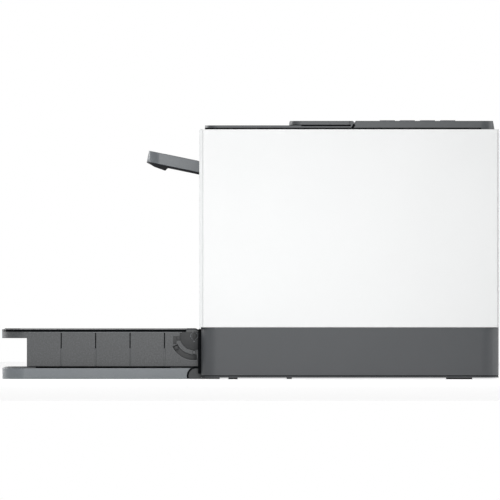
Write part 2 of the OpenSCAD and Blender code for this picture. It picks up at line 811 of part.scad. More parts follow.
module power_supply() color(green) {
    span(supply_x, deep(supply_depth), onward(base_floor_z + supply_rise, board_t));
    for (x = inset(supply_x, 2 * post_r)) for (back = inset(supply_depth, 2 * post_r))
        rod_z(post_r, x, face_y + back, [base_floor_z, base_floor_z + supply_rise]);
    z = base_floor_z + supply_rise + board_t;
    span(onward(supply_x[0] + coil_w / 2, coil_w), onward(face_y + supply_depth[0] + coil_w / 2, coil_w),
        onward(z, coil_h));
    rod_z(capacitor_r, supply_x[1] - coil_w, face_y + supply_depth[0] + coil_w, onward(z, capacitor_h));
}

inlet_wall = 2.6;
inlet_pin_w = 2;
inlet_pin_h = 4;
inlet_pin_pitch = 7;
inlet_pin_l = 12;
inlet_floor = 5;

module power_inlet() color(black) {
    difference() {
        span(about(inlet_x, inlet_w / 2), [rear_y - inlet_d, rear_y], about(inlet_z, inlet_h / 2));
        span(about(inlet_x, inlet_w / 2 - inlet_wall), [rear_y - inlet_d + inlet_floor, rear_y + eps],
            about(inlet_z, inlet_h / 2 - inlet_wall));
    }
    for (i = [-1:1]) span(about(inlet_x + i * inlet_pin_pitch, inlet_pin_w / 2),
        onward(rear_y - inlet_d + inlet_floor, inlet_pin_l),
        about(inlet_z + (i == 0 ? inlet_pin_w : -inlet_pin_w), inlet_pin_h / 2));
}

fan_hub_r = 8;
fan_blades = 7;
blade_t = 1.2;
blade_tilt = 35;
fan_spoke_w = 4;

module fan_case() color(black) difference() {
    union() {
        difference() {
            span(about(fan_x, fan_w / 2), [rear_in_y - fan_d, rear_in_y], about(fan_z, fan_w / 2));
            fan_rod(fan_w / 2 - rib_t, [-fan_d - eps, eps]);
        }
        span(about(fan_x, fan_w / 2), [rear_in_y - fan_d, rear_in_y - fan_d + rib_t],
            about(fan_z, fan_spoke_w / 2));
        fan_rod(fan_hub_r, [-fan_d, rib_t - fan_d]);
    }
    fan_rod(shaft_r / 2 + run_gap, [-fan_d - eps, eps]);
}

module fan_rod(r, y) {
    translate([fan_x, rear_in_y + y[1], fan_z]) rotate([90, 0, 0]) cylinder(r = r, h = y[1] - y[0]);
}

module fan_rotor() color(black) {
    fan_rod(fan_hub_r, [rib_t + seam - fan_d, -rib_t]);
    fan_rod(shaft_r / 2, [-fan_d, rib_t + seam - fan_d]);
    for (i = [0:fan_blades - 1]) translate([fan_x, rear_in_y - fan_d / 2, fan_z])
        rotate([0, i * 360 / fan_blades, 0]) translate([(fan_hub_r + fan_w / 2 - rib_t) / 2 - eps, 0, 0])
        rotate([blade_tilt, 0, 0]) cube([fan_w / 2 - rib_t - fan_hub_r - eps, fan_d / 2, blade_t], center = true);
}

control_depth = [158, 234];
control_half = 8;
control_post_r = 1.5;
tact_w = 6;

// The board under the keys, with one switch for each
module control_board() color(green) {
    top = deck_z1 - deck_wall - key_skirt;
    span(about(key_x, control_half), deep(control_depth), [top - board_t, top]);
    for (back = key_back) span(about(key_x, tact_w / 2), about(face_y + back, tact_w / 2),
        [top, deck_z1 - deck_wall - key_skirt + tact_h]);
    for (i = [1:len(key_back) - 1]) rod_z(control_post_r, key_x,
        face_y + (key_back[i - 1] + key_back[i]) / 2, [top, deck_z1 - deck_wall]);
}
tact_h = 1.5;

screw_r = 2;
screw_head_r = 3.6;
screw_head_t = 1.2;
screw_l = 9;
screw_boss_w = 12;
screw_boss_h = 10;
screw_boss_d = 8;
screw_from_edge = 14;
screw_z = [base_z1 + screw_from_edge, top_z - screw_from_edge];
screw_across = inner_half - screw_boss_w / 2;

module screw_places(y) {
    on_both_sides() for (z = screw_z) translate([screw_across, y, z]) rotate([90, 0, 0]) children();
}

// Screws that hold the rear panel to the side panels
module screws() color(steel) screw_places(rear_y) {
    cylinder(r = screw_r - press_gap, h = screw_l);
    cylinder(r = screw_head_r, h = screw_head_t);
}

// Moving parts of the paper path
lift_side = 44;
lift_half = frame_half - lift_side;
lift_gap = 0.6;
lift_depth = [48, 108];
lift_t = 1.2;
lift_pin_r = 1.5;
lift_boss_r = 3;
lift_y = face_y + lift_depth[0];
lift_z = shelf_z - lift_t / 2;

module lift_plate() color(steel) {
    span(both(lift_half), deep(lift_depth), about(lift_z, lift_t / 2));
    rod_x(lift_pin_r, both(lift_half + lift_gap + rib_t - seam), lift_y, lift_z);
}

pickup_half = 20;
sleeve_shares = [[-0.6, -0.44], [-0.08, 0.08], [0.44, 0.6]];
feed_sleeves = [for (share = sleeve_shares) share * frame_half];

module pickup_roller() color(rubber) roller(pickup_c, pickup_r, [both(pickup_half)], geared_x);
module feed_roller() color(rubber) {
    roller(feed_c, feed_r, feed_sleeves, geared_x);
    gear(feed_c, feed_teeth, feed_phase, shaft_r - press_gap);
}
module feed_idler_roller() color(dark) roller([feed_idler_y, feed_z], feed_r, feed_sleeves);
module drum() color("#2a7f8a") roller(drum_c, drum_r, [both(drum_half)], geared_x);
module transfer_roller() color(black) roller([transfer_y, drum_z], transfer_r, [both(roller_half)]);
module heat_roller() color("#3a3330") roller(heat_c, fuser_r, [both(roller_half)], geared_x);
module pressure_roller() color("#b4552f") roller([pressure_y, heat_z], fuser_r, [both(roller_half)]);
module exit_roller() color(rubber) {
    roller(exit_c, exit_r, feed_sleeves, geared_x);
    gear(exit_c, exit_teeth, exit_phase, shaft_r - press_gap);
}
module exit_pinch_roller() color(grey) roller([exit_y, pinch_z], pinch_r, feed_sleeves);

module pickup_gear() color("ivory") gear(pickup_c, pickup_teeth, pickup_phase, shaft_r + press_gap);
module drum_gear() color("ivory") gear(drum_c, drum_teeth, drum_phase, shaft_r + press_gap);
module heat_gear() color("ivory") gear(heat_c, heat_teeth, heat_phase, shaft_r + press_gap);
module idler_motor_feed() color("ivory")
    gear(motor_feed_c, motor_feed_teeth, motor_feed_phase, stud_r + run_gap);
module idler_feed_pickup() color("ivory")
    gear(feed_pickup_c, feed_pickup_teeth, feed_pickup_phase, stud_r + run_gap);
module idler_feed_drum() color("ivory")
    gear(feed_drum_c, feed_drum_teeth, feed_drum_phase, stud_r + run_gap);
module idler_drum_fuser() color("ivory")
    gear(drum_fuser_c, drum_fuser_teeth, drum_fuser_phase, stud_r + run_gap);
module idler_fuser_exit() color("ivory")
    gear(fuser_exit_c, fuser_exit_teeth, fuser_exit_phase, stud_r + run_gap);

// Keys, rocker and rear door
module key(back) color(dark) {
    y = face_y + back;
    under = deck_z1 - deck_wall;
    span(about(key_x, key_w / 2), about(y, key_d / 2), [under - key_lip_t, deck_z1 + key_rise]);
    span(about(key_x, key_w / 2 + key_gap + key_lip), about(y, key_d / 2),
        [under - key_lip_t, under - seam / 3]);
    span(about(key_x, key_stem_w / 2), about(y, key_stem_w / 2),
        [under - key_skirt + tact_h + key_travel + seam, under]);
}

module key_power() key(key_back[0]);
module key_start() key(key_back[1]);
module key_cancel() key(key_back[2]);
module key_network() key(key_back[3]);

rocker_d = 9;
rocker_sink = 1.2;
key_lip = 0.8;
key_lip_t = 1;

module power_rocker() color(black) translate([0, rocker_y, rocker_z]) rotate([-rocker_tilt, 0, 0]) {
    half = rocker_h / 2 - 2 * seam;
    front = rear_y - rocker_y - rocker_sink;
    plate_x(about(inlet_x, rocker_w / 2)) polygon([[0, -half], [front, -half], [front - 2 * seam, 0],
        [front, half], [0, half], [front - rocker_d, 0]]);
    rod_x(rocker_pin_r, about(inlet_x, rocker_w / 2 + rib_t), 0, 0);
}

module rear_door() color(white) {
    span(both(door_half), [rear_in_y, rear_y], [door_hinge_z, door_z[1] - seam]);
    rod_x(door_barrel_r, both(door_half), door_hinge_y, door_hinge_z);
    rod_x(door_pin_r, both(door_half + door_pin_l), door_hinge_y, door_hinge_z);
    span(both(door_grip_half), [rear_in_y - door_grip_d, rear_in_y],
        [door_z[1] - seam - door_grip_h, door_z[1] - seam]);
}
door_grip_half = 20;
door_grip_d = 3;
door_grip_h = 8;

// Lid with its bin, hinge arms and the rails of the output support
module sloped(z) {
    translate([0, face_y, z]) rotate([-bin_slope, 0, 0]) children();
}

bin_len = (bin_rear_y - face_y) / cos(bin_slope);
rail_len = arm_in + arm_travel;
rail_start = bezel_mid_d + 3 * wall;
rail_h = arm_t + grip_t + rail_gap;

module top_lid() color(dark) {
    difference() {
        union() {
            plate_z([lid_z0, lid_z1]) round_rect(lid_half, [lid_front_y, lid_rear_y + 2 * lid_slant],
                lid_corner_r, 0);
            span(both(bin_half), [lid_front_y, bin_rear_y + wall],
                [bin_front_z - bin_len * sin(bin_slope) - wall, lid_z1]);
        }
        // the bin, open at the top and at the front
        intersection() {
            span(both(bin_half - wall), [face_y - eps, bin_rear_y], [0, lid_z1 + eps]);
            sloped(bin_front_z) span(both(half_w), [-bin_rear_y, bin_len * 2], [0, top_z]);
        }
        // what lies under the sloping floor
        sloped(bin_front_z - wall / cos(bin_slope)) span(both(half_w), [-bin_len, bin_len * 2],
            [-top_z, 0]);
        span(both(bin_half - wall), [bin_rear_y - eps, bin_rear_y + wall + eps],
            [top_z - exit_slot_low, top_z - exit_slot_high]);
        plate_x(both(half_w)) polygon([[lid_rear_y, lid_z0 - eps], [lid_rear_y, lid_z0],
            [lid_rear_y + lid_slant, lid_z1], [lid_rear_y + lid_slant, lid_z1 + eps],
            [rear_y, lid_z1 + eps], [rear_y, lid_z0 - eps]]);
    }
    sloped(arm_top_z + seam) on_both_sides() {
        span(onward(arm_w / 2 + rail_gap, wall), [rail_start, rail_len + wall],
            [-rail_h - rail_lip_t, 0]);
        span([arm_w / 2 + rail_gap - rail_lip, arm_w / 2 + rail_gap], [rail_start, rail_len + wall],
            [-rail_h - rail_lip_t, -rail_h]);
    }
    on_both_sides() {
        plate_x(onward(lid_arm_x0, lid_arm_t)) {
            translate([lid_hinge_y, lid_hinge_z]) {
                sector([0, 0], lid_arm_r, lid_arm_angles);
                sector([0, 0], [0, lid_arm_r[1]], lid_link_angles, 2);
                circle(lid_boss_r);
            }
        }
        rod_x(lid_pin_r, [lid_arm_x0, inner_half - seam], lid_hinge_y, lid_hinge_z);
        // ears that carry the exit flap
        difference() {
            union() {
                rod_x(flap_r, [flap_lug_half, lid_half], flap_hinge_y, flap_hinge_z);
                span([flap_lug_half, lid_half], [flap_hinge_y - flap_r, flap_hinge_y],
                    [lid_z1 - eps, flap_hinge_z]);
            }
            rod_x(flap_pin_r + run_gap, [flap_lug_half - eps, lid_half - flap_ear_skin],
                flap_hinge_y, flap_hinge_z);
        }
    }
}

flap_front_y = flap_hinge_y - flap_d;
flap_lug_w = 8.4;
flap_lug_half = lid_half - flap_lug_w;
flap_pin_r = 1;
flap_ear_skin = 1;

module exit_flap() color(dark) {
    difference() {
        plate_z([flap_z0, flap_z0 + flap_h])
            round_rect(lid_half, [flap_front_y, flap_hinge_y], flap_corner_r, 0);
        on_both_sides() span([flap_lug_half - seam, lid_half + eps],
            [flap_hinge_y - flap_r - seam, flap_hinge_y + eps], [flap_z0 - eps, flap_z0 + flap_h + eps]);
    }
    rod_x(flap_r, both(flap_lug_half - seam), flap_hinge_y, flap_hinge_z);
    rod_x(flap_pin_r, both(lid_half - flap_ear_skin - seam), flap_hinge_y, flap_hinge_z);
}

module output_support() color(grey) sloped(arm_top_z)
    span(both(arm_w / 2), [-arm_out, arm_in], [-arm_t, 0]);

grip_back = [3.4, 17.6];
grip_drop = 2.8;

module output_support_grip() color(black) sloped(arm_top_z) plate_x(both(arm_w / 2))
    polygon([[arm_in, -arm_t], [arm_in, -arm_t - grip_t], [grip_back[1] - arm_out + rib_t, -arm_t - grip_t],
        [grip_back[1] - arm_out, -arm_t - grip_t - grip_drop],
        [grip_back[0] + rib_t * 2 - arm_out, -arm_t - grip_t - grip_drop / 2],
        [grip_back[0] - arm_out, -arm_t - grip_t], [-arm_out, -arm_t - grip_t / 2], [-arm_out, -arm_t]]);

// Paper tray, its width guides and the dust cover
module paper_tray() color(grey) {
    difference() {
        plate_z([tray_z0, tray_z1])
            round_rect(tray_w / 2, [tray_tip_y, hinge_y], tray_corner_r, 0);
        plate_z([tray_z0 + wall, tray_z1 + eps])
            round_rect(tray_w / 2 - wall, [tray_tip_y + wall, tray_inner_y], tray_corner_r - wall, 0);
        rod_x(knuckle_r + knuckle_gap, both(tray_w / 2 + eps), hinge_y, hinge_z);
    }
    rod_z(guide_pin_r, 0, guide_y, [tray_z0 + wall - eps, tray_floor_z0]);
    // ledges that carry the tray's floor
    on_both_sides() span([tray_w / 2 - wall - ledge_w, tray_w / 2 - wall + eps],
        [tray_tip_y + tray_corner_r, tray_inner_y + eps], [tray_z0 + wall - eps, tray_floor_z0]);
    on_both_sides() difference() {
        union() {
            plate_x([ear_x0, ear_x1]) {
                polygon([[pivot_y - ear_d, tray_z0], [hinge_y, hinge_z - hinge_barrel_r],
                    [hinge_y + hinge_barrel_r, hinge_z], [pivot_y + ear_round, ear_rise],
                    [pivot_y + ear_round, pivot_z], [pivot_y - ear_round, pivot_z],
                    [pivot_y - ear_d / 2, stop_z + 2 * stop_r], [pivot_y - ear_d, stop_z + 2 * stop_r]]);
                translate([pivot_y, pivot_z]) circle(ear_round);
                translate([hinge_y, hinge_z]) circle(hinge_barrel_r);
            }
            rod_x(hinge_pin_r, [ear_x1, bracket_x0 + bracket_w - wall], hinge_y, hinge_z);
            rod_x(pivot_r, [ear_x1, cover_half], pivot_y, pivot_z);
            rod_x(stop_r, [ear_x1, cover_half - slip], stop_y, stop_z);
        }
        span([ear_x1 + wall / 2, cover_half + eps], about(pivot_y, slit_w / 2), about(pivot_z, pivot_r + eps));
    }
}
slit_w = 0.9;
ledge_w = 5;
tray_inner_y = hinge_y - knuckle_r - knuckle_gap - wall;
tray_floor_t = 2.2;
tray_floor_z0 = tray_z1 - tray_floor_t - seam / 3;
pinion_back = 98;
guide_y = tray_tip_y + pinion_back;
guide_pin_r = 2;
guide_m = 1;
guide_teeth = 16;
guide_gear_z = [tray_z0 + wall + seam, tray_floor_z0 - seam];
guide_travel = 60;
rack_t = 4;
rack_pitch_r = guide_m * guide_teeth / 2;
neck_w = 8;

module tray_floor() color(dark) difference() {
    plate_z(onward(tray_floor_z0, tray_floor_t)) round_rect(tray_w / 2 - wall - seam,
        [tray_tip_y + wall + seam, tray_inner_y - seam], tray_corner_r - wall - seam, 0);
    for (side = [-1, 1]) span(side > 0 ? [sheet_w / 2 - guide_travel - seam, sheet_w / 2 + neck_w + seam]
        : [-sheet_w / 2 - neck_w - seam, guide_travel + seam - sheet_w / 2],
        about(guide_y + side * (rack_pitch_r + guide_m + rack_t / 2), rack_t / 2 + seam),
        [tray_floor_z0 - eps, tray_z1 + eps]);
    on_both_sides() span([ear_x0 - seam, tray_w / 2], [pivot_y - ear_d - seam, hinge_y],
        [tray_floor_z0 - eps, tray_z1 + eps]);
}

guide_wall_d = [-30, 30];
guide_wall_t = 1.6;
guide_foot_w = 22;
guide_foot_t = 1.6;
guide_h = 24;

module width_guide() {
    span(onward(sheet_w / 2, guide_wall_t), [guide_y + guide_wall_d[0], guide_y + guide_wall_d[1]],
        onward(tray_z1, guide_h));
    span(onward(sheet_w / 2, guide_foot_w), [guide_y + guide_wall_d[0], guide_y + guide_wall_d[1]],
        onward(tray_z1, guide_foot_t));
    span(onward(sheet_w / 2, neck_w), onward(guide_y + rack_pitch_r + guide_m, rack_t),
        [guide_gear_z[0], tray_z1 + guide_foot_t]);
    span([-rack_tail, sheet_w / 2], onward(guide_y + rack_pitch_r + guide_m, rack_t), guide_gear_z);
    // rack teeth; a gap of the rack faces the pinion's tooth at rest
    pitch = PI * guide_m;
    half = pitch * (1 / 4 - tooth_backlash_share / 2);
    slope = tan(pressure_angle);
    for (i = [ceil(-rack_tail / pitch):floor(sheet_w / 2 / pitch) - 1]) translate([(i + 1 / 2) * pitch,
        guide_y + rack_pitch_r, guide_gear_z[0]]) linear_extrude(guide_gear_z[1] - guide_gear_z[0])
        polygon([[-half - slope * guide_m, guide_m + eps], [-half - slope * guide_m, guide_m],
            [slope * addendum_share * guide_m - half, -addendum_share * guide_m],
            [half - slope * addendum_share * guide_m, -addendum_share * guide_m],
            [half + slope * guide_m, guide_m], [half + slope * guide_m, guide_m + eps]]);
}
rack_tail = 12;

module width_guide_right() color(dark) width_guide();
module width_guide_left() color(dark) translate([0, 2 * guide_y, 0]) rotate(180) width_guide();

module guide_pinion() color("ivory") difference() {
    translate([0, guide_y, guide_gear_z[0]]) linear_extrude(guide_gear_z[1] - guide_gear_z[0])
        rotate(90) gear_outline(guide_teeth, guide_m);
    rod_z(guide_pin_r + run_gap, 0, guide_y, inset(guide_gear_z, -eps));
}

cover_tip_d = 22.5;
cover_lip_h = 7.9;
cover_cheek_rear = 2.9;
cover_plate_rear = 11.8;
cover_bottom_gap = 1.2;
cover_inner_r = 3.6;
cover_cheek_r = 4.5;
cover_notch_half = 75;
cover_notch_d = 15;
recess_r = 12.9;
recess_d = 0.8;
tongue_r = [12.9, 16.6];
rib_shares = [0.2, 0.4, 0.6, 0.8];
groove_w = 0.9;
groove_d = 0.4;

module dust_cover() color(dark) {
    rear = face_y - (hinge_ahead - cover_cheek_rear) - seam;
    bottom = tray_z1 + cover_bottom_gap;
    corner = tip_y + cover_tip_d;
    difference() {
        union() {
            difference() {
                plate_z([cover_z1 - cover_lip_h, cover_z1])
                    round_rect(cover_half, [tip_y, face_y - cover_plate_rear], tray_corner_r, 0);
                plate_z([cover_z1 - cover_lip_h - eps, cover_z1 - wall])
                    round_rect(cover_half - wall, [tip_y + wall, face_y], tray_corner_r - wall, 0);
            }
            on_both_sides() plate_x([cover_half - wall, cover_half]) {
                difference() {
                    polygon(concat([[corner, cover_z1 - eps], [corner, bottom], [rear, bottom]],
                        arc([rear - cover_cheek_r, cover_z1 - cover_cheek_r], cover_cheek_r, [0, 90], 8)));
                }
            }
        }
        on_both_sides() {
            rod_x(pivot_r + run_gap, [cover_half - wall - eps, cover_half + eps], pivot_y, pivot_z);
            plate_x([cover_half - wall - eps, cover_half + eps]) {
                sector([pivot_y, pivot_z], [stop_radius - stop_slot_half, stop_radius + stop_slot_half],
                    [180 + stop_angle - stop_margin, 180 + stop_angle + cover_open + stop_margin], 16);
            }
            rod_x(recess_r, [cover_half - recess_d, cover_half + eps], pivot_y, pivot_z);
            for (share = rib_shares) span([cover_half - groove_d, cover_half + eps],
                about(corner + share * (rear - corner), groove_w / 2),
                [bottom - eps, cover_z1 - wall]);
        }
        span(both(cover_notch_half), [tip_y - eps, tip_y + cover_notch_d],
            [cover_z1 - cover_lip_h - eps, cover_z1 + eps]);
    }
}

// One line for each node
base_pan();
rubber_feet();
tray_hinge_brackets();
side_panel_right();
side_panel_left();
front_bezel();
bay_liner();
rear_panel();
control_deck();
side_frame_right();
side_frame_left();
paper_guide();
separation_pad();
fuser_frame();
toner_cartridge();
scanner_case();
drive_motor();
main_board();
power_supply();
power_inlet();
fan_case();
control_board();
screws();
lift_plate();
pickup_roller();
pickup_gear();
feed_roller();
feed_idler_roller();
drum();
drum_gear();
transfer_roller();
heat_roller();
heat_gear();
pressure_roller();
exit_roller();
exit_pinch_roller();
motor_pinion();
idler_motor_feed();
idler_feed_pickup();
idler_feed_drum();
idler_drum_fuser();
idler_fuser_exit();
polygon_mirror();
fan_rotor();
key_power();
key_start();
key_cancel();
key_network();
power_rocker();
rear_door();
top_lid();
exit_flap();
output_support();
output_support_grip();
paper_tray();
tray_floor();
width_guide_right();
width_guide_left();
guide_pinion();
dust_cover();
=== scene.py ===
"""Looks of a desktop laser printer: finishes for its CAD nodes and the small moulded details."""

import json
import math

import bpy
from bpy.props import FloatProperty, FloatVectorProperty, IntProperty, PointerProperty
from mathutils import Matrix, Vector


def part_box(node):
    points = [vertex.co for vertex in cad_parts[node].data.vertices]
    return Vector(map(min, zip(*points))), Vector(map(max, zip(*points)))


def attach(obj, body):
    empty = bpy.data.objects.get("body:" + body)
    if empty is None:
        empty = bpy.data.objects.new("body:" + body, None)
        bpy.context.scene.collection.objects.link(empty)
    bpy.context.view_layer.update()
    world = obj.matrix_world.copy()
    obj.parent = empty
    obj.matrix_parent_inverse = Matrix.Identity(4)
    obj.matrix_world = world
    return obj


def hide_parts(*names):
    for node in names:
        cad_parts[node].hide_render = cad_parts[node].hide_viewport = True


bl_info = {
    "name": "Laser printer looks",
    "version": (1, 0, 0),
    "blender": (4, 5, 0),
    "location": "3D View > Sidebar > Printer",
    "description": "Finishes and fine details of a desktop laser printer",
    "category": "Object",
}

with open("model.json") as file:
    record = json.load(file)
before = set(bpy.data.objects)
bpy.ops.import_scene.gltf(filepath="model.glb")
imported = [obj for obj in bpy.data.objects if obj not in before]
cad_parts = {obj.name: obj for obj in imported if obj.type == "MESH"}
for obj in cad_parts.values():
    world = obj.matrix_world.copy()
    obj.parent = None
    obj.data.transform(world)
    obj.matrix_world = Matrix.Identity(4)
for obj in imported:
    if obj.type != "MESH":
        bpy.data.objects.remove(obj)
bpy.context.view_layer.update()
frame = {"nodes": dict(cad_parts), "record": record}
NODES = frame["nodes"]
MM = 0.001


def sides(node):
    """Lowest and highest corner of a CAD node, in millimetres."""
    low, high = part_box(node)
    return [v / MM for v in low], [v / MM for v in high]


COVER_LOW, COVER_HIGH = sides("dust_cover")
TRAY_LOW, TRAY_HIGH = sides("paper_tray")
DECK_LOW, DECK_HIGH = sides("control_deck")
LID_LOW, LID_HIGH = sides("top_lid")
PANEL_HIGH = sides("side_panel_right")[1]
SUPPORT_LOW, SUPPORT_HIGH = sides("output_support")
REAR_FACE = sides("rear_panel")[1][1]
BASE_LOW, BASE_HIGH = sides("base_pan")
FLAP_LOW, FLAP_HIGH = sides("exit_flap")
BEZEL_FACE = sides("front_bezel")[0][1]
FRAME_LOW, FRAME_HIGH = sides("side_frame_right")
# Where each joint's axis stands, in millimetres
AXES = {joint["name"]: [v / MM for v in joint["pos_m"]]
        for joint in frame["record"]["behaviour"]["joints"] if "pos_m" in joint}

# Sizes of the CAD source that its boxes don't give, in millimetres; the last four round
# the front corners of the cover and the tray, the lid, the flap and the output support
BIN_SLOPE = math.radians(11.7)
BIN_SINK = 25.4
LID_DEPTH = 131.6
PIVOT_R = 3.4
STOP_RADIUS = 19.2
BASE_CORNER_R = 16.0
SUPPORT_OUT = 46.8
SHAFT_R = 3.0
PLATE_R = 20.0
LID_R = 12.6
FLAP_R = 12.0
SUPPORT_R = 13.0


# ---- colour and material helpers


def linear(code):
    """Turns an sRGB hex colour into the linear colour that the shaders take."""
    parts = [int(code[i:i + 2], 16) / 255 for i in (1, 3, 5)]
    return [v / 12.92 if v <= 0.04045 else ((v + 0.055) / 1.055) ** 2.4 for v in parts] + [1.0]


def add_node(tree, kind, links=(), **settings):
    """Adds a shader node, sets its properties or sockets, and links sockets into it."""
    made = tree.nodes.new("ShaderNode" + kind)
    for key, value in settings.items():
        if hasattr(made, key):
            setattr(made, key, value)
        else:
            made.inputs[key.replace("_", " ")].default_value = value
    for socket, source in links:
        tree.links.new(source, made.inputs[socket])
    return made


def seen_ray(tree):
    """Is 1 for a ray from the camera, straight, mirrored or through glass, or else 0."""
    rays = add_node(tree, "LightPath")
    seen = rays.outputs["Is Camera Ray"]
    for kind in ("Is Glossy Ray", "Is Transmission Ray"):
        either = add_node(tree, "Math", [(0, seen), (1, rays.outputs[kind])], operation="MAXIMUM")
        seen = either.outputs["Value"]
    return seen


def start_material(name, colour, roughness, **sockets):
    """A material with its Principled shader and Object coordinates."""
    material = bpy.data.materials.new(name)
    material.use_nodes = True
    tree = material.node_tree
    shader = tree.nodes["Principled BSDF"]
    shader.inputs["Base Color"].default_value = linear(colour)
    shader.inputs["Roughness"].default_value = roughness
    for key, value in sockets.items():
        shader.inputs[key.replace("_", " ")].default_value = value
    place = add_node(tree, "TexCoord").outputs["Object"]
    return material, tree, shader, place


def tint(tree, shader, colour, other, factor):
    """Mixes two written colours by a pattern into the shader's base colour."""
    mixed = add_node(tree, "Mix", data_type="RGBA")
    mixed.inputs[6].default_value = linear(colour)
    mixed.inputs[7].default_value = linear(other)
    tree.links.new(factor, mixed.inputs[0])
    tree.links.new(mixed.outputs[2], shader.inputs["Base Color"])


def emboss(tree, shader, height, depth, edge):
    """Bump from a pattern, over edges that are rounded by their real radius in millimetres."""
    rounded = add_node(tree, "Bevel", Radius=edge * MM, samples=4)
    bump = add_node(tree, "Bump", [("Height", height), ("Normal", rounded.outputs["Normal"])],
                    Distance=depth * MM, Strength=1.0)
    tree.links.new(bump.outputs["Normal"], shader.inputs["Normal"])


def moulded_abs(name, colour, other, roughness, grain, depth, edge=0.5, gloss=1.53):
    """ABS moulded against a spark-eroded tool: a fine even grain that breaks up the gloss,
    with a faint cloudiness of the pigment. The grain's width is in millimetres."""
    material, tree, shader, place = start_material(name, colour, roughness, IOR=gloss)
    cloud = add_node(tree, "TexNoise", [("Vector", place)], Scale=14.0, Detail=3.0)
    speck = add_node(tree, "TexNoise", [("Vector", place)], Scale=1 / (grain * MM), Detail=2.0)
    blend = add_node(tree, "Math", [(0, cloud.outputs["Fac"]), (1, speck.outputs["Fac"])],
                     operation="MULTIPLY")
    spread = add_node(tree, "MapRange", [("Value", blend.outputs["Value"])],
                      From_Min=0.12, From_Max=0.42)
    tint(tree, shader, colour, other, spread.outputs["Result"])
    emboss(tree, shader, speck.outputs["Fac"], depth, edge)
    return material


def speckled_cover(name, colour, other, dark):
    """Smoke-grey styrene with a coarse, sanded tool texture: flecks 1 to 2 mm wide."""
    material, tree, shader, place = start_material(name, colour, 0.42, IOR=1.55)
    fleck = add_node(tree, "TexNoise", [("Vector", place)],
                     Scale=1 / (1.3 * MM), Detail=4.0, Roughness=0.7)
    ramp = add_node(tree, "ValToRGB", [("Fac", fleck.outputs["Fac"])])
    stops = ramp.color_ramp.elements
    stops.new(0.5)
    for stop, position, code in zip(stops, (0.36, 0.5, 0.66), (dark, colour, other)):
        stop.position = position
        stop.color = linear(code)
    tree.links.new(ramp.outputs["Color"], shader.inputs["Base Color"])
    emboss(tree, shader, fleck.outputs["Fac"], 0.04, 0.5)
    return material


def rolled_steel(name, colour, other, roughness, lines, edge=0.2):
    """Sheet or bar steel: fine rolling or turning lines stretch its highlights."""
    material, tree, shader, place = start_material(name, colour, roughness, Metallic=1.0)
    stretch = add_node(tree, "Mapping", [("Vector", place)], Scale=(1.0, 0.04, 1.0))
    line = add_node(tree, "TexNoise", [("Vector", stretch.outputs["Vector"])],
                    Scale=1 / (lines * MM), Detail=2.0)
    tint(tree, shader, colour, other, line.outputs["Fac"])
    emboss(tree, shader, line.outputs["Fac"], 0.01, edge)
    return material


def moulded_rubber(name, colour, other, grip):
    """EPDM rubber, ground on its rim: dull, with a fine ribbed nap that wears lighter."""
    material, tree, shader, place = start_material(name, colour, 0.78, IOR=1.5)
    nap = add_node(tree, "TexWave", [("Vector", place)],
                   Scale=1 / (grip * MM * 6), Distortion=2.0, Detail=2.0)
    dust = add_node(tree, "TexNoise", [("Vector", place)], Scale=180.0, Detail=4.0)
    tint(tree, shader, colour, other, dust.outputs["Fac"])
    emboss(tree, shader, nap.outputs["Fac"], 0.05, 0.4)
    return material


def natural_acetal(name):
    """Unpigmented POM: milky, slightly waxy, letting a little light in at thin teeth."""
    material, tree, shader, place = start_material(
        name, "#e9e5d6", 0.35, IOR=1.48, Subsurface_Weight=0.15, Subsurface_Scale=0.002)
    flow = add_node(tree, "TexNoise", [("Vector", place)], Scale=90.0, Detail=2.0)
    tint(tree, shader, "#e9e5d6", "#d9d3bf", flow.outputs["Fac"])
    emboss(tree, shader, flow.outputs["Fac"], 0.02, 0.15)
    return material


def coated_roller(name, colour, other, roughness, coat):
    """A dip-coated or sleeved roller: smooth and glossy, with very faint bands along its length."""
    material, tree, shader, place = start_material(
        name, colour, roughness, IOR=1.5, Coat_Weight=coat, Coat_Roughness=0.08)
    band = add_node(tree, "TexWave", [("Vector", place)],
                    Scale=40.0, Distortion=1.0, bands_direction="X")
    tint(tree, shader, colour, other, band.outputs["Fac"])
    emboss(tree, shader, band.outputs["Fac"], 0.004, 0.3)
    return material


def solder_resist(name):
    """Glass-epoxy board under green solder resist: tracks 0.8 mm apart stand out a little paler."""
    material, tree, shader, place = start_material(name, "#1f5a38", 0.32, IOR=1.55, Coat_Weight=0.3)
    track = add_node(tree, "TexBrick", [("Vector", place)], Scale=1 / (8 * MM), Mortar_Size=0.03,
                     Color1=linear("#1f5a38"), Color2=linear("#246543"), Mortar=linear("#3b8258"))
    tree.links.new(track.outputs["Color"], shader.inputs["Base Color"])
    emboss(tree, shader, track.outputs["Fac"], 0.03, 0.1)
    return material


FINISHES = {}


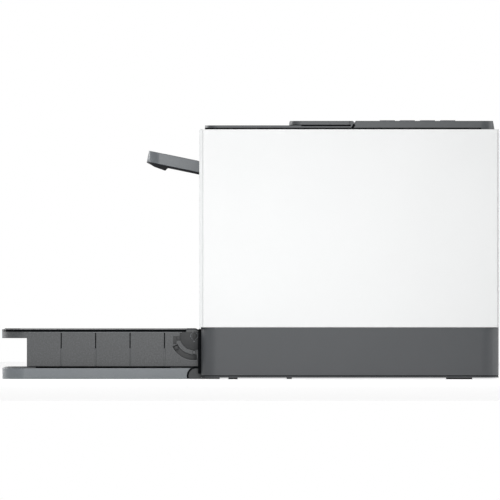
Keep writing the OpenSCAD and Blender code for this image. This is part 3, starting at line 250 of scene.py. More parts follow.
def build_finishes(looks):
    """Makes each material once, in the colours of the panel's settings."""
    def code(colour):
        return "#" + "".join(f"{round(v * 255):02x}" for v in colour)

    # moulded plastics: finish, material, two colours, roughness, grain, depth, edge and gloss
    plastics = (
        # ABS in the housing's white: near neutral, satin, with an eroded grain of 0.5 mm
        ("white", "white_abs_fine_eroded", code(looks.housing_colour), "#f8f9f9",
         0.42, 0.5, 0.02, 0.6),
        # The bezel is given a touch greyer white than the housing
        ("bezel", "white_abs_bezel", "#f2f4f4", "#eff1f1", 0.45, 0.5, 0.02, 0.6),
        # Charcoal ABS, coarser grain of 0.9 mm that greys it under soft light
        ("base", "charcoal_abs_coarse_eroded", code(looks.base_colour), "#404346",
         0.5, 0.9, 0.05, 0.8),
        # The same ABS with a finer tool finish, so the lid and deck are smoother than the base
        ("lid", "charcoal_abs_satin", code(looks.lid_colour), "#434649", 0.4, 0.6, 0.03, 0.7),
        # Keys from a polished tool: a little lighter and glossier than the deck round them
        ("key", "charcoal_abs_polished", "#45484b", "#3f4245", 0.28, 0.4, 0.01, 0.6),
        # Cool grey ABS of the paper path that the user touches
        ("grey", "grey_abs_satin", code(looks.tray_colour), "#6f757a", 0.26, 0.6, 0.02, 0.8),
        # Graphite ABS under the paper: rougher and darker than the tray's outside
        ("inner", "graphite_abs_eroded", "#46494c", "#3d4043", 0.55, 0.8, 0.04, 0.4),
        # Glass-filled polyamide near the fuser: black and dull, its fibres leave a grain of 0.7 mm
        ("black", "black_polyamide_glass_filled", "#1b1d1f", "#26282a", 0.5, 0.7, 0.03, 0.4),
        # Near-black painted shade for the unlit depth of seams, gaps and grooves, with almost no
        # gloss
        ("gap", "black_painted_gap_shade", "#0b0d0f", "#101214", 0.85, 0.4, 0.02, 0.2, 1.12),
        # Thermoplastic elastomer over the support's underside: black and matt
        ("grip", "black_elastomer_overmoulding", "#191b1e", "#1f2124", 0.7, 0.5, 0.02, 0.4, 1.35),
        # The cover's styrene where the tool was polished: a darker, even field; the paler copy
        # paints the highlight on raised edges
        ("field", "smoke_styrene_polished", "#1d1f21", "#1a1c1e", 0.5, 0.6, 0.01, 0.2),
        ("cover_light", "smoke_styrene_painted_highlight", "#6c6f71", "#616466", 0.4, 0.6, 0.01, 0.2),
        # A paler copy of the tray's grey ABS, painting the highlight of a line of light along its
        # edge
        ("grey_light", "grey_abs_painted_edge_highlight", "#7b8184", "#757b7e", 0.3, 0.6, 0.01, 0.3),
        # Graphite acetal of the hinge: darker and duller than the tray beside it
        ("hinge", "graphite_acetal_hinge", "#2a2d2f", "#26292b", 0.5, 0.6, 0.02, 0.4),
        # Frosted polycarbonate caps of the status lamps
        ("lamp", "frosted_polycarbonate", "#cfe6d2", "#bfdcc4", 0.3, 0.5, 0.01, 0.2),
    )
    for finish, *values in plastics:
        FINISHES[finish] = moulded_abs(*values)
    # metals, two colours, roughness, the lines' width and the edge: dull zinc on rolled sheet,
    # bright ground bars, the scanner's mirror without visible lines, and warm plated contacts
    metals = (
        ("steel", "zinc_plated_sheet_rolled", "#b9bcbe", "#a3a7aa", 0.36, 0.5),
        ("bar", "ground_steel_bar", "#c9cbcc", "#b4b7b9", 0.25, 0.4),
        ("mirror", "diamond_cut_aluminium", "#dfe2e4", "#d4d8da", 0.06, 0.3, 0.05),
        ("brass", "nickel_plated_brass_drawn", "#d9d3c4", "#c9c1ac", 0.22, 0.3, 0.1),
    )
    for finish, *values in metals:
        FINISHES[finish] = rolled_steel(*values)
    # rollers, two colours, roughness and coat: a glossy blue-green drum under a clear layer, the
    # fuser's brown-black non-stick sleeve, and brick-red silicone with a soft sheen
    rollers = (
        ("drum", "photoconductor_dip_coated", "#2b8d97", "#2f97a0", 0.12, 1.0),
        ("heat", "fluoropolymer_sleeve", "#3b3330", "#433a36", 0.22, 0.4),
        ("silicone", "silicone_rubber_cast", "#b65a35", "#ad5230", 0.5, 0.0),
    )
    for finish, *values in rollers:
        FINISHES[finish] = coated_roller(*values)
    # the cover's flecked styrene, worn rubber and foam, milky gears and green boards
    FINISHES["cover"] = speckled_cover("smoke_styrene_sanded", code(looks.cover_colour),
                                       "#4c4f51", "#36383a")
    FINISHES["rubber"] = moulded_rubber("black_epdm_ground", "#252627", "#333435", 0.8)
    FINISHES["foam"] = moulded_rubber("grey_conductive_foam", "#3a3b3d", "#4a4b4d", 0.5)
    FINISHES["acetal"] = natural_acetal("natural_acetal_moulded")
    FINISHES["board"] = solder_resist("green_resist_board")


NODE_FINISH = {
    "white": "side_panel_right side_panel_left rear_panel rear_door",
    "bezel": "front_bezel",
    "hinge": "tray_hinge_brackets",
    "base": "base_pan bay_liner",
    "lid": "control_deck top_lid exit_flap",
    "key": "key_power key_start key_cancel key_network",
    "cover": "dust_cover",
    "grey": "paper_tray output_support exit_pinch_roller",
    "inner": "tray_floor width_guide_right width_guide_left paper_guide feed_idler_roller",
    "black": "fuser_frame toner_cartridge scanner_case power_inlet fan_case fan_rotor"
             " power_rocker output_support_grip",
    "rubber": "rubber_feet separation_pad pickup_roller feed_roller exit_roller",
    "foam": "transfer_roller",
    "steel": "side_frame_right side_frame_left lift_plate drive_motor",
    "bar": "motor_pinion screws",
    "mirror": "polygon_mirror",
    "acetal": "drum_gear pickup_gear heat_gear idler_motor_feed idler_feed_pickup idler_feed_drum"
              " idler_drum_fuser idler_fuser_exit guide_pinion",
    "drum": "drum",
    "heat": "heat_roller",
    "silicone": "pressure_roller",
    "board": "main_board power_supply control_board",
}


# ---- modelling helpers

# How a bar that stands along Z is turned to lie along each axis
ALONG = {"X": (0, math.pi / 2, 0), "Y": (math.pi / 2, 0, 0), "Z": (0, 0, 0)}


def nothing_selected():
    """Clears the selection, which the next operator would act on."""
    bpy.ops.object.select_all(action="DESELECT")


def only(piece):
    """Selects one piece and makes it active."""
    nothing_selected()
    piece.select_set(True)
    bpy.context.view_layer.objects.active = piece


def added(name):
    """Names the primitive that was just added and puts its place and size into its mesh."""
    piece = bpy.context.object
    piece.name = name
    bpy.ops.object.transform_apply(location=True, rotation=True, scale=True)
    return piece


def apply_modifier(piece, kind, **settings):
    """Gives a piece a modifier with these settings and applies it."""
    only(piece)
    change = piece.modifiers.new(kind, kind)
    for key, value in settings.items():
        setattr(change, key, value)
    bpy.ops.object.modifier_apply(modifier=change.name)


def edit_all(piece, operator, **settings):
    """Runs an operator on the whole of a piece's mesh."""
    only(piece)
    bpy.ops.object.mode_set(mode="EDIT")
    bpy.ops.mesh.select_all(action="SELECT")
    operator(**settings)
    bpy.ops.object.mode_set(mode="OBJECT")


def new_block(name, low, high, radius=0.0, steps=2):
    """A block between two corners in millimetres, its edges rounded."""
    nothing_selected()
    centre = [(a + b) / 2 * MM for a, b in zip(low, high)]
    size = [(b - a) * MM for a, b in zip(low, high)]
    bpy.ops.mesh.primitive_cube_add(size=1, location=centre, scale=size)
    piece = added(name)
    if radius:
        bevel_edges(piece, radius, steps)
    return piece


def new_disc(name, radius, centre, length, axis="X", rim=0.0, points=48):
    """A round bar about a centre in millimetres, along X, Y or Z, with rounded rims."""
    nothing_selected()
    bpy.ops.mesh.primitive_cylinder_add(vertices=points, radius=radius * MM, depth=length * MM,
                                        location=[v * MM for v in centre], rotation=ALONG[axis])
    piece = added(name)
    if rim:
        bevel_edges(piece, rim, 2)
    return piece


def new_ring(name, radius, wire, centre, axis="X"):
    """A round bead in a circle about a centre in millimetres."""
    nothing_selected()
    bpy.ops.mesh.primitive_torus_add(major_radius=radius * MM, minor_radius=wire * MM,
                                     major_segments=48, minor_segments=12,
                                     location=[v * MM for v in centre], rotation=ALONG[axis])
    return added(name)


def bevel_edges(piece, radius, steps=2):
    """Rounds a piece's sharp edges by a radius in millimetres."""
    apply_modifier(piece, "BEVEL", width=radius * MM, segments=steps, limit_method="ANGLE",
                   angle_limit=math.radians(30))


def join_pieces(name, pieces):
    """Joins pieces into the first one."""
    nothing_selected()
    for piece in pieces:
        piece.select_set(True)
    bpy.context.view_layer.objects.active = pieces[0]
    bpy.ops.object.join()
    made = bpy.context.object
    made.name = name
    made.data.name = name
    return made


def paint(piece, finish):
    """Gives a piece its finish alone."""
    piece.data.materials.clear()
    piece.data.materials.append(FINISHES[finish])


def finish_piece(piece, body, finish):
    """Smooths a piece, gives it its finish, and lets it move with its body."""
    only(piece)
    bpy.ops.object.shade_smooth_by_angle(angle=math.radians(35))
    paint(piece, finish)
    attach(piece, body)
    return piece


def round_upright(piece, x, y, radius, steps=10):
    """Rounds the upright edge of a piece that stands nearest to a place in millimetres."""
    only(piece)
    mesh = piece.data
    for part in (mesh.vertices, mesh.edges, mesh.polygons):
        part.foreach_set("select", [False] * len(part))

    def away(edge):
        a, b = (mesh.vertices[i].co for i in edge.vertices)
        upright = abs(a.x - b.x) + abs(a.y - b.y) < 1e-6
        middle = (a + b) / 2
        return math.hypot(middle.x - x * MM, middle.y - y * MM) if upright else 1e9

    min(mesh.edges, key=away).select = True
    bpy.ops.object.mode_set(mode="EDIT")
    bpy.ops.mesh.select_mode(type="EDGE")
    bpy.ops.mesh.bevel(offset=radius * MM, offset_type="OFFSET", segments=steps)
    bpy.ops.object.mode_set(mode="OBJECT")


def swept_band(name, centre, radii, x, angles, steps=20):
    """A curved band across X: a strip between two radii, swept about a centre in Y and Z.
    Angles are in degrees from the rear towards the top, lengths in millimetres."""
    nothing_selected()
    middle = sum(radii) / 2
    start = math.radians(angles[0])
    place = (sum(x) / 2 * MM, (centre[0] + middle * math.cos(start)) * MM,
             (centre[1] + middle * math.sin(start)) * MM)
    bpy.ops.mesh.primitive_plane_add(size=1, location=place, rotation=(start, 0, 0))
    bpy.context.object.scale = ((x[1] - x[0]) * MM, (radii[1] - radii[0]) * MM, 1)
    piece = added(name)
    bpy.ops.object.mode_set(mode="EDIT")
    bpy.ops.mesh.select_all(action="SELECT")
    bpy.ops.mesh.spin(steps=steps, angle=-math.radians(angles[1] - angles[0]),
                      use_auto_merge=False, center=(0, centre[0] * MM, centre[1] * MM),
                      axis=(1, 0, 0))
    bpy.ops.mesh.select_all(action="DESELECT")
    bpy.ops.mesh.select_non_manifold()
    bpy.ops.mesh.edge_face_add()
    bpy.ops.mesh.select_all(action="SELECT")
    bpy.ops.mesh.normals_make_consistent(inside=False)
    bpy.ops.object.mode_set(mode="OBJECT")
    return piece


def cut_away(piece, cutter, operation="DIFFERENCE"):
    """Cuts one piece out of another, or keeps what both share, and removes the cutter."""
    apply_modifier(piece, "BOOLEAN", operation=operation, solver="EXACT", object=cutter)
    bpy.data.objects.remove(cutter, do_unlink=True)


def row_of(piece, count, step):
    """Repeats a piece along a step in millimetres."""
    apply_modifier(piece, "ARRAY", count=count, use_relative_offset=False,
                   use_constant_offset=True, constant_offset_displace=[v * MM for v in step])


def add_block(name, low, high, radius, body, finish, count=1, step=None):
    """A finished block between two corners in millimetres, or one piece of several in a row."""
    piece = new_block(name, low, high, radius)
    if count > 1:
        row_of(piece, count, step)
    finish_piece(piece, body, finish)


def pierced_disc(name, radius, bore, centre, length, rim=0.0, points=48):
    """A disc along X with a bore through it, in millimetres."""
    piece = new_disc(name, radius, centre, length, rim=rim, points=points)
    cut_away(piece, new_disc("bore", bore, centre, length + 4, points=points))
    return piece


def round_corners(piece, xs, ys, radius, steps=10):
    """Rounds the upright edges that stand nearest to where the lines at each X and Y cross."""
    for x in xs:
        for y in ys:
            round_upright(piece, x, y, radius, steps)


def mirrored(piece, name):
    """A copy of a piece with its own mesh, mirrored to the printer's other side."""
    twin = piece.copy()
    twin.data = piece.data.copy()
    twin.name = twin.data.name = name
    bpy.context.scene.collection.objects.link(twin)
    edit_all(twin, bpy.ops.transform.mirror, constraint_axis=(True, False, False),
             orient_type="GLOBAL", center_override=(0, 0, 0))
    edit_all(twin, bpy.ops.mesh.normals_make_consistent, inside=False)
    return twin


def both_sides(piece, body, finish):
    """Finishes a piece of the right side and its mirrored twin on the left."""
    twin = mirrored(piece, piece.name + "_left")
    piece.name = piece.data.name = piece.name + "_right"
    for each in (piece, twin):
        finish_piece(each, body, finish)


def cad_copy(name, node):
    """A copy of a CAD node's mesh, to be worked on as a piece of its own."""
    nothing_selected()
    piece = NODES[node].copy()
    piece.data = NODES[node].data.copy()
    piece.animation_data_clear()
    piece.parent = None
    piece.matrix_world = NODES[node].matrix_world
    for key in list(piece.keys()):
        del piece[key]
    piece.name = piece.data.name = name
    bpy.context.scene.collection.objects.link(piece)
    # a CAD mesh is loose triangles, so their corners are merged before anything is cut
    edit_all(piece, bpy.ops.mesh.remove_doubles, threshold=1e-6)
    return piece


def tilt_piece(piece, angle, centre):
    """Tips a piece's front up by an angle about a line along X through a centre in millimetres."""
    only(piece)
    piece.location = [-v * MM for v in centre]
    bpy.ops.object.transform_apply(location=True, rotation=False, scale=False)
    piece.rotation_euler = (-angle, 0, 0)
    piece.location = [v * MM for v in centre]
    bpy.ops.object.transform_apply(location=True, rotation=True, scale=False)


def shift_piece(piece, step):
    """Moves a piece's mesh by a step in millimetres."""
    edit_all(piece, bpy.ops.transform.translate, value=[v * MM for v in step])


# ---- settings of the panel


class PrinterLooks(bpy.types.PropertyGroup):
    """Sizes and colours that a user would change."""

    housing_colour: FloatVectorProperty(
        name="Housing", description="sRGB colour of the white housing", subtype="COLOR_GAMMA",
        size=3, default=(0.985, 0.99, 0.99))
    base_colour: FloatVectorProperty(
        name="Base", description="sRGB colour of the dark base", subtype="COLOR_GAMMA",
        size=3, default=(0.27, 0.28, 0.29))
    lid_colour: FloatVectorProperty(
        name="Lid", description="sRGB colour of the lid and the deck", subtype="COLOR_GAMMA",
        size=3, default=(0.28, 0.29, 0.3))
    cover_colour: FloatVectorProperty(
        name="Dust cover", description="sRGB colour of the dust cover", subtype="COLOR_GAMMA",
        size=3, default=(0.25, 0.26, 0.265))
    tray_colour: FloatVectorProperty(
        name="Tray", description="sRGB colour of the tray and the output support",
        subtype="COLOR_GAMMA", size=3, default=(0.465, 0.485, 0.5))
    camera_focal: FloatProperty(
        name="Camera lens", description="Focal length of the long lens", default=1600.0, min=50.0)
    camera_distance: FloatProperty(
        name="Camera distance", description="Distance from the housing's side", default=20.0,
        unit="LENGTH", min=1.0)
    floor_size: FloatProperty(
        name="Floor", description="Width of the floor", default=6.0, unit="LENGTH", min=1.0)
    floor_glow: FloatProperty(
        name="Floor glow", description="What the floor adds to the light on the printer",
        default=0.46, min=0.0)
    floor_seen_glow: FloatProperty(
        name="Floor glow in view", description="What the floor adds to its own white",
        default=0.7, min=0.0, max=1.0)
    lamp_power: FloatProperty(
        name="Side softbox", description="Power of the softbox beside the camera", default=1.8,
        unit="POWER", min=0.0)
    sky_level: FloatProperty(
        name="Sky", description="Strength of the even light from all around", default=0.17, min=0.0)
    bin_ribs: IntProperty(
        name="Bin ribs", description="Sheet ribs on the floor of the output bin", default=9, min=2)


# ---- pieces


class PRINTER_OT_finishes(bpy.types.Operator):
    """Give every CAD node its procedural material"""

    bl_idname = "printer.finishes"
    bl_label = "Finishes"

    def execute(self, context):
        build_finishes(context.scene.printer_looks)
        for finish, names in NODE_FINISH.items():
            for name in names.split():
                paint(NODES[name], finish)
        return {"FINISHED"}


class PRINTER_OT_cover_details(bpy.types.Operator):
    """Add the dust cover's dark rim, cheek ribs, swing marks, pivot field and stop ring"""

    bl_idname = "printer.cover_details"
    bl_label = "Dust cover details"

    def execute(self, context):
        _, front, foot = COVER_LOW
        cheek, back, top = COVER_HIGH
        proud = 0.15
        skin = cheek + proud / 2
        pivot = AXES["cover_open"][1:]
        pivot_y, pivot_z = pivot

        def on_cover(piece, finish):
            both_sides(piece, "cover", finish)

        # the top plate's shadow line runs round its edge and ends before the pivot
        plate_rear = front + 166.2
        rim = new_block("cover_shadow_rim", (cheek - 75, front, top - 2.2),
                        (skin, plate_rear, top - 0.12))
        round_upright(rim, cheek, front, PLATE_R)
        on_cover(rim, "gap")
        # painted highlight: a paler strip along the moulded edge under the shadow line
        on_cover(new_block("cover_edge_painted_highlight", (cheek - 1.0, front + 24.0, top - 3.0),
                           (skin, plate_rear - 4, top - 2.3), 0.2), "cover_light")
        # four ribs: a bead below, painted paler as a highlight, and above it a dark strip of
        # painted shade for a groove
        rib_y, rib_z = front + 53.5, foot + 16.6
        for name, half, bottom, outer, head, radius, finish in (
                ("cover_rib_painted_highlight", 0.3, foot + 0.4, cheek + proud, rib_z, 0.12, "cover_light"),
                ("cover_rib_groove_painted_shade", 0.45, rib_z, cheek - 0.2, top - 2.6, 0.1, "gap")):
            rib = new_block(name, (cheek - 0.9, rib_y - half, bottom),
                            (outer, rib_y + half, head), radius)
            row_of(rib, 4, (0, 31.0, 0))
            on_cover(rib, finish)
        # the dark field round the pivot lies flush in the cheek's recess, trimmed above and behind
        field = new_disc("pivot_field", 12.7, (cheek - 0.5, *pivot), 0.75, rim=0.12, points=72)
        cut_away(field, new_block("trim_above", (cheek - 3, pivot_y - 30, top - 2.4),
                                  (cheek + 3, pivot_y + 30, top + 20)))
        cut_away(field, new_block("trim_behind", (cheek - 3, pivot_y + 4.2, foot - 20),
                                  (cheek + 3, pivot_y + 40, top + 20)))
        cut_away(field, new_disc("field_bore", PIVOT_R + 0.2, (cheek - 0.5, *pivot), 4))
        on_cover(field, "field")
        # the hook's arm and tip meet at its elbow
        elbow = pivot_y - 15.8
        arm = new_block("hook_arm", (cheek - 0.5, elbow, pivot_z - 4.2),
                        (cheek + proud, pivot_y - 12.4, pivot_z - 0.2), 0.12)
        tip = new_block("hook_tip", (cheek - 0.5, pivot_y - 18.8, pivot_z - 7.4),
                        (cheek + proud, elbow, pivot_z - 0.2), 0.12)
        on_cover(join_pieces("swing_hook", [arm, tip]), "field")
        # raised lips on both sides of the slot, paler with a painted highlight, and the stop pin's
        # ring between slot and field
        for name, radius in (("slot_lip_inner", 16.2), ("slot_lip_outer", 22.2)):
            on_cover(swept_band(name, pivot, (radius - 0.2, radius + 0.2),
                                (cheek - 0.5, cheek + proud), (207, 277)), "cover_light")
        on_cover(new_ring("stop_ring", 1.6, 0.3, (cheek - 0.1, pivot_y + 0.1, pivot_z - 14.7)),
                 "field")
        on_cover(new_block("pivot_mark", (cheek - 0.4, pivot_y - 0.7, pivot_z - 5.4),
                           (skin, pivot_y + 0.7, pivot_z - 4.4), 0.2), "cover_light")
        # shadow lines along the cheek's rear edge and under it, over the tray
        on_cover(new_block("cheek_rear_edge", (cheek - 1.6, back - 0.9, foot + 0.2),
                           (skin, back - 0.02, top - 8), 0.2), "gap")
        on_cover(new_block("cheek_sill", (cheek - 1.2, front + 23.5, foot - 0.02),
                           (skin, back - 0.1, foot + 0.5), 0.1), "gap")
        # thumb lip inside the front notch
        add_block("cover_thumb_lip", (-70, front + 15.2, top - 7.0),
                  (70, front + 17.4, top - 5.2), 0.6, "cover", "cover")
        return {"FINISHED"}


class PRINTER_OT_cover_pins(bpy.types.Operator):
    """Add the slotted caps, the liners and the stop sleeves on the tray's pivot ears"""

    bl_idname = "printer.cover_pins"
    bl_label = "Pivot caps"

    def execute(self, context):
        cheek = COVER_HIGH[0]
        pivot_y, pivot_z = AXES["cover_open"][1:]

        def on_ear(piece):
            both_sides(piece, "tray", "field")

        cap = new_disc("pivot_cap", PIVOT_R - 0.15, (cheek - 0.35, pivot_y, pivot_z), 0.8, rim=0.3)
        cut_away(cap, new_block("slit", (cheek - 0.4, pivot_y - 0.45, pivot_z - 6),
                                (cheek + 1, pivot_y + 0.45, pivot_z + 6)))
        on_ear(cap)
        # a dark liner on the ear shows through the cheek's slot, with the stop pin's sleeve
        ear = cheek - 2.9
        on_ear(new_block("ear_liner", (ear - 0.05, pivot_y - 20.8, TRAY_LOW[2] + 9.9),
                         (ear + 0.3, pivot_y + 4.0, pivot_z - 7.2), 0.1))
        stop_angle = math.radians(34)
        stop = (ear + 1.3, pivot_y - STOP_RADIUS * math.cos(stop_angle),
                pivot_z - STOP_RADIUS * math.sin(stop_angle))
        on_ear(new_disc("stop_sleeve", 1.95, stop, 2.7, rim=0.3, points=32))
        return {"FINISHED"}


class PRINTER_OT_top_details(bpy.types.Operator):
    """Add the shadow lines under the lid, flap and deck, the bin's ribs and the status lamps"""

    bl_idname = "printer.top_details"
    bl_label = "Lid, flap and deck details"

    def execute(self, context):
        proud = 0.12
        side = LID_HIGH[0]
        skin = side + proud
        lid_z = PANEL_HIGH[2]
        lid_front = LID_LOW[1]
        deck_front, deck_z, deck_top = DECK_LOW[1], DECK_LOW[2], DECK_HIGH[2]
        # near-black strips under the edges of the lid, the flap and the deck paint the shadow line
        # between them and the housing
        for body, node, front, rear, bottom, top, radius in (
                ("lid", "top_lid", lid_front, lid_front + LID_DEPTH, lid_z + 0.2, lid_z + 1.4,
                 LID_R),
                ("flap", "exit_flap", FLAP_LOW[1], FLAP_HIGH[1] - 3.0, FLAP_LOW[2] - 0.9,
                 FLAP_LOW[2] + 0.55, FLAP_R)):
            painted_shade_strip = new_block(f"{body}_seal", (side - 14, front - proud, bottom), (skin, rear, top))
            round_upright(painted_shade_strip, side, front, radius)
            both_sides(painted_shade_strip, body, "gap")
        both_sides(new_block("deck_painted_shade_strip", (side - 1.5, deck_front + 0.3, deck_z + 0.02),
                             (skin, DECK_HIGH[1] - 12, deck_z + 1.4)),
                   "body", "gap")
        # a slanted near-black sheet behind the lid paints the shade in the gap in front of the deck
        gap_z = lid_z + 1.8
        shade_sheet = new_block("deck_gap_shade_sheet", (-160, deck_front + 0.15, lid_z + 0.3),
                        (160, deck_front + 0.35, lid_z + 3.3))
        tilt_piece(shade_sheet, math.radians(25), (0, deck_front + 0.25, gap_z))
        finish_piece(shade_sheet, "body", "gap")
        # and beside the lid a dark stroke that leans to the rear paints the gap's shade
        stroke = new_block("deck_gap_end_painted_shade", (side - 2.0, 91.1, lid_z + 0.4),
                           (skin, 93.2, lid_z + 4.8), 0.1)
        tilt_piece(stroke, math.radians(30), (0, 92.2, gap_z))
        both_sides(stroke, "body", "gap")
        # sheet ribs on the sloping floor of the bin, 5 mm behind its front edge
        setback = 5
        drop = setback * math.tan(BIN_SLOPE)
        start = lid_front + setback
        floor_z = lid_z - BIN_SINK
        rib = new_block("bin_ribs", (-0.8, start, floor_z - 0.6 - drop),
                        (0.8, start + 119, floor_z + 0.5 - drop), 0.3)
        tilt_piece(rib, BIN_SLOPE, (0, start, floor_z - drop))
        rib_span = 190
        shift_piece(rib, (-rib_span / 2, 0, -drop))
        count = context.scene.printer_looks.bin_ribs
        row_of(rib, count, (rib_span / (count - 1), 0, 0))
        finish_piece(rib, "lid", "lid")
        # three status lamps beside the keys, in their bezel
        lamp_x, lamp_y = sides("key_power")[0][0] - 8, sides("key_power")[0][1] + 16
        for i, step in enumerate((-7.0, 0.0, 7.0)):
            lamp = new_disc(f"status_lamp_{i + 1}", 1.6, (lamp_x, lamp_y + step, deck_top + 0.05),
                            0.5, "Z", rim=0.18, points=32)
            finish_piece(lamp, "body", "lamp")
        add_block("lamp_bezel", (lamp_x - 3, lamp_y - 10.5, deck_top - 0.3),
                  (lamp_x + 3, lamp_y + 10.5, deck_top + 0.15), 0.12, "body", "key")
        return {"FINISHED"}


class PRINTER_OT_output_support(bpy.types.Operator):
    """Round the output support and its grip at the front, and add the sheet ribs"""

    bl_idname = "printer.output_support"
    bl_label = "Output support"

    def execute(self, context):
        half, tip = SUPPORT_HIGH[0], SUPPORT_LOW[1]
        for name, node, finish in (("support_shell", "output_support", "grey"),
                                   ("support_grip", "output_support_grip", "grip")):
            shell = cad_copy(name, node)
            plan = new_block("plan", (-half - 0.05, tip - 0.05, SUPPORT_LOW[2] - 20),
                             (half + 0.05, SUPPORT_HIGH[1] + 10, SUPPORT_HIGH[2] + 10))
            round_corners(plan, (-half, half), (tip,), SUPPORT_R, 12)
            cut_away(shell, plan, "INTERSECT")
            finish_piece(shell, "support", finish)
            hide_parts(node)
        # five shallow ribs on its upper face guide the sheets
        root = (0, BEZEL_FACE, SUPPORT_HIGH[2] - SUPPORT_OUT * math.sin(BIN_SLOPE))
        rib = new_block("support_ribs", (-44.8, root[1] - SUPPORT_OUT + 14, root[2] - 0.2),
                        (-43.2, root[1] - 2, root[2] + 0.12), 0.12)
        tilt_piece(rib, BIN_SLOPE, root)
        row_of(rib, 5, (22, 0, 0))
        finish_piece(rib, "support", "grey")
        return {"FINISHED"}


class PRINTER_OT_base_and_tray_lines(bpy.types.Operator):
    """Add the base's groove with its painted shade, painted shade at the bay's edges and round the
    hinge knuckles, and the lines of the tray
    """

    bl_idname = "printer.base_and_tray_lines"
    bl_label = "Base and tray lines"

    def execute(self, context):
        side, front, rear, low_z = BASE_HIGH[0], BASE_LOW[1], BASE_HIGH[1], BASE_LOW[2]
        walls = ((-side, side), (front, rear))

        def slab(name, margin, bottom, top):
            """A block that keeps a margin from the base's outline."""
            return new_block(name, (-side + margin, front + margin, low_z + bottom),
                             (side - margin, rear - margin, low_z + top))

        # the base is the CAD shell with the groove that its two halves leave low on their joint
        groove_low, groove_high = 1.2, 2.0

        def frame_round(name, margin, depth):
            """A flat frame round the base at the groove's height, open inside a depth."""
            band, core = slab(name, margin, groove_low, groove_high), slab("core", depth, -2, 5)
            for piece, inset in ((band, margin), (core, depth)):
                if inset > 0:
                    round_corners(piece, *walls, BASE_CORNER_R - inset)
            cut_away(band, core)
            return band

        shell = cad_copy("base_shell", "base_pan")
        cut_away(shell, frame_round("groove", -2, 0.7))
        # a black strip of painted shade lies in the groove and stops at the slots that the tray's
        # ears swing in
        fill = frame_round("base_groove_painted_shade", 0.3, 0.8)
        for x in (-148.3, 148.3):
            cut_away(fill, new_block("swing_slot", (x - 4.4, front - 2, low_z - 1),
                                     (x + 4.4, front + 5, low_z + 5)))
        finish_piece(fill, "body", "gap")
        # black strips of painted shade between the cover's rear edge and the base
        both_sides(new_block("bay_edge_painted_shade_strip", (160.7, front - 2.7, low_z + 3.6),
                             (163.8, front - 0.05, BASE_HIGH[2] - 1.8), 0.3),
                   "body", "gap")
        finish_piece(shell, "body", "base")
        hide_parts("base_pan")
        # a black ring of painted shade fills the gap between the tray's end and each hinge knuckle
        ring = swept_band("knuckle_gap_painted_shade", AXES["tray_fold"][1:], (6.85, 8.2), (152.6, 157.9),
                          (62, 197))
        both_sides(ring, "body", "gap")
        # the tray's upstand closes the gap under the cover's cheeks, near-black as painted shade
        floor_top = sides("tray_floor")[1][2]
        tip, tray_side, tray_z = TRAY_LOW[1], TRAY_HIGH[0], TRAY_LOW[2]
        both_sides(new_block("tray_upstand", (137.0, tip + 30, floor_top - 0.3),
                             (138.6, front - 12, floor_top + 4.2), 0.3),
                   "tray", "gap")
        # a paler strip along the tray's lower edge is a painted highlight
        bead = new_block("tray_light_line", (tray_side - 60, tip - 0.08, tray_z + 0.8),
                         (tray_side + 0.12, tip + 164, tray_z + 1.7))
        round_upright(bead, tray_side, tip, PLATE_R)
        both_sides(bead, "tray", "grey_light")
        # a pull lip under the tray's tip
        add_block("tray_pull_lip", (-32, tip + 2.2, tray_z - 0.2),
                  (32, tip + 5.0, tray_z + 0.6), 0.3, "tray", "grey")
        return {"FINISHED"}


class PRINTER_OT_rear_details(bpy.types.Operator):
    """Add the rear door's frame and ribs, the fan's guard and the metal parts of the sockets"""

    bl_idname = "printer.rear_details"
    bl_label = "Rear details"

    def execute(self, context):
        face = REAR_FACE
        skin = face - 2.35
        door_low, door_high = sides("rear_door")
        foot, head = door_low[2], door_high[2]
        # raised stiffening frame and five ribs inside the door
        door_frame = new_block("door_frame", (-108.0, face - 4.0, foot + 12),
                               (108.0, skin, head - 12))
        cut_away(door_frame, new_block("door_window", (-105.0, face - 6, foot + 15),
                                       (105.0, face, head - 15)))
        bevel_edges(door_frame, 0.4)
        finish_piece(door_frame, "door", "white")
        add_block("door_ribs", (-84.8, face - 3.8, foot + 14), (-83.2, skin, head - 14), 0.3,
                  "door", "white", 5, (42, 0, 0))
        # wire guard rings behind the louvres, and the cap on the fan's hub
        fan_x, fan_y, fan_z = AXES["fan_spin"]
        for i, radius in enumerate((6.0, 10.5, 15.0)):
            ring = new_ring(f"fan_guard_{i + 1}", radius, 0.45, (fan_x, face - 1.5, fan_z), "Y")
            finish_piece(ring, "body", "bar")
        hub = new_disc("fan_hub_cap", 6.5, (fan_x, fan_y + 3.0, fan_z), 0.5, "Y", rim=0.2)
        finish_piece(hub, "fan", "lid")
        # nickel-plated blades in the mains socket: the earth stands higher than the other two
        inlet_x, _, inlet_z = [(a + b) / 2 for a, b in zip(*sides("power_inlet"))]
        for i in (-1, 0, 1):
            x, z = inlet_x + 7 * i, inlet_z + (2 if i == 0 else -2)
            add_block(f"mains_blade_{i + 2}", (x - 1.06, face - 16.9, z - 2.06),
                      (x + 1.06, face - 4.9, z + 2.06), 0.35, "body", "brass")
        # shell and tongue of the data socket
        left, right, bottom, top = 154.6, 166.6, 135.0, 146.0
        shell = new_block("data_shell", (left + 1.5, face - 17, bottom + 1.5),
                          (right - 1.5, face - 0.9, top - 1.5))
        cut_away(shell, new_block("data_bore", (left + 1.8, face - 16.6, bottom + 1.8),
                                  (right - 1.8, face + 1, top - 1.8)))
        finish_piece(shell, "body", "brass")
        add_block("data_tongue", (left + 3.6, face - 16.6, bottom + 4.2),
                  (right - 3.6, face - 3.0, top - 4.2), 0.3, "body", "black")
        return {"FINISHED"}


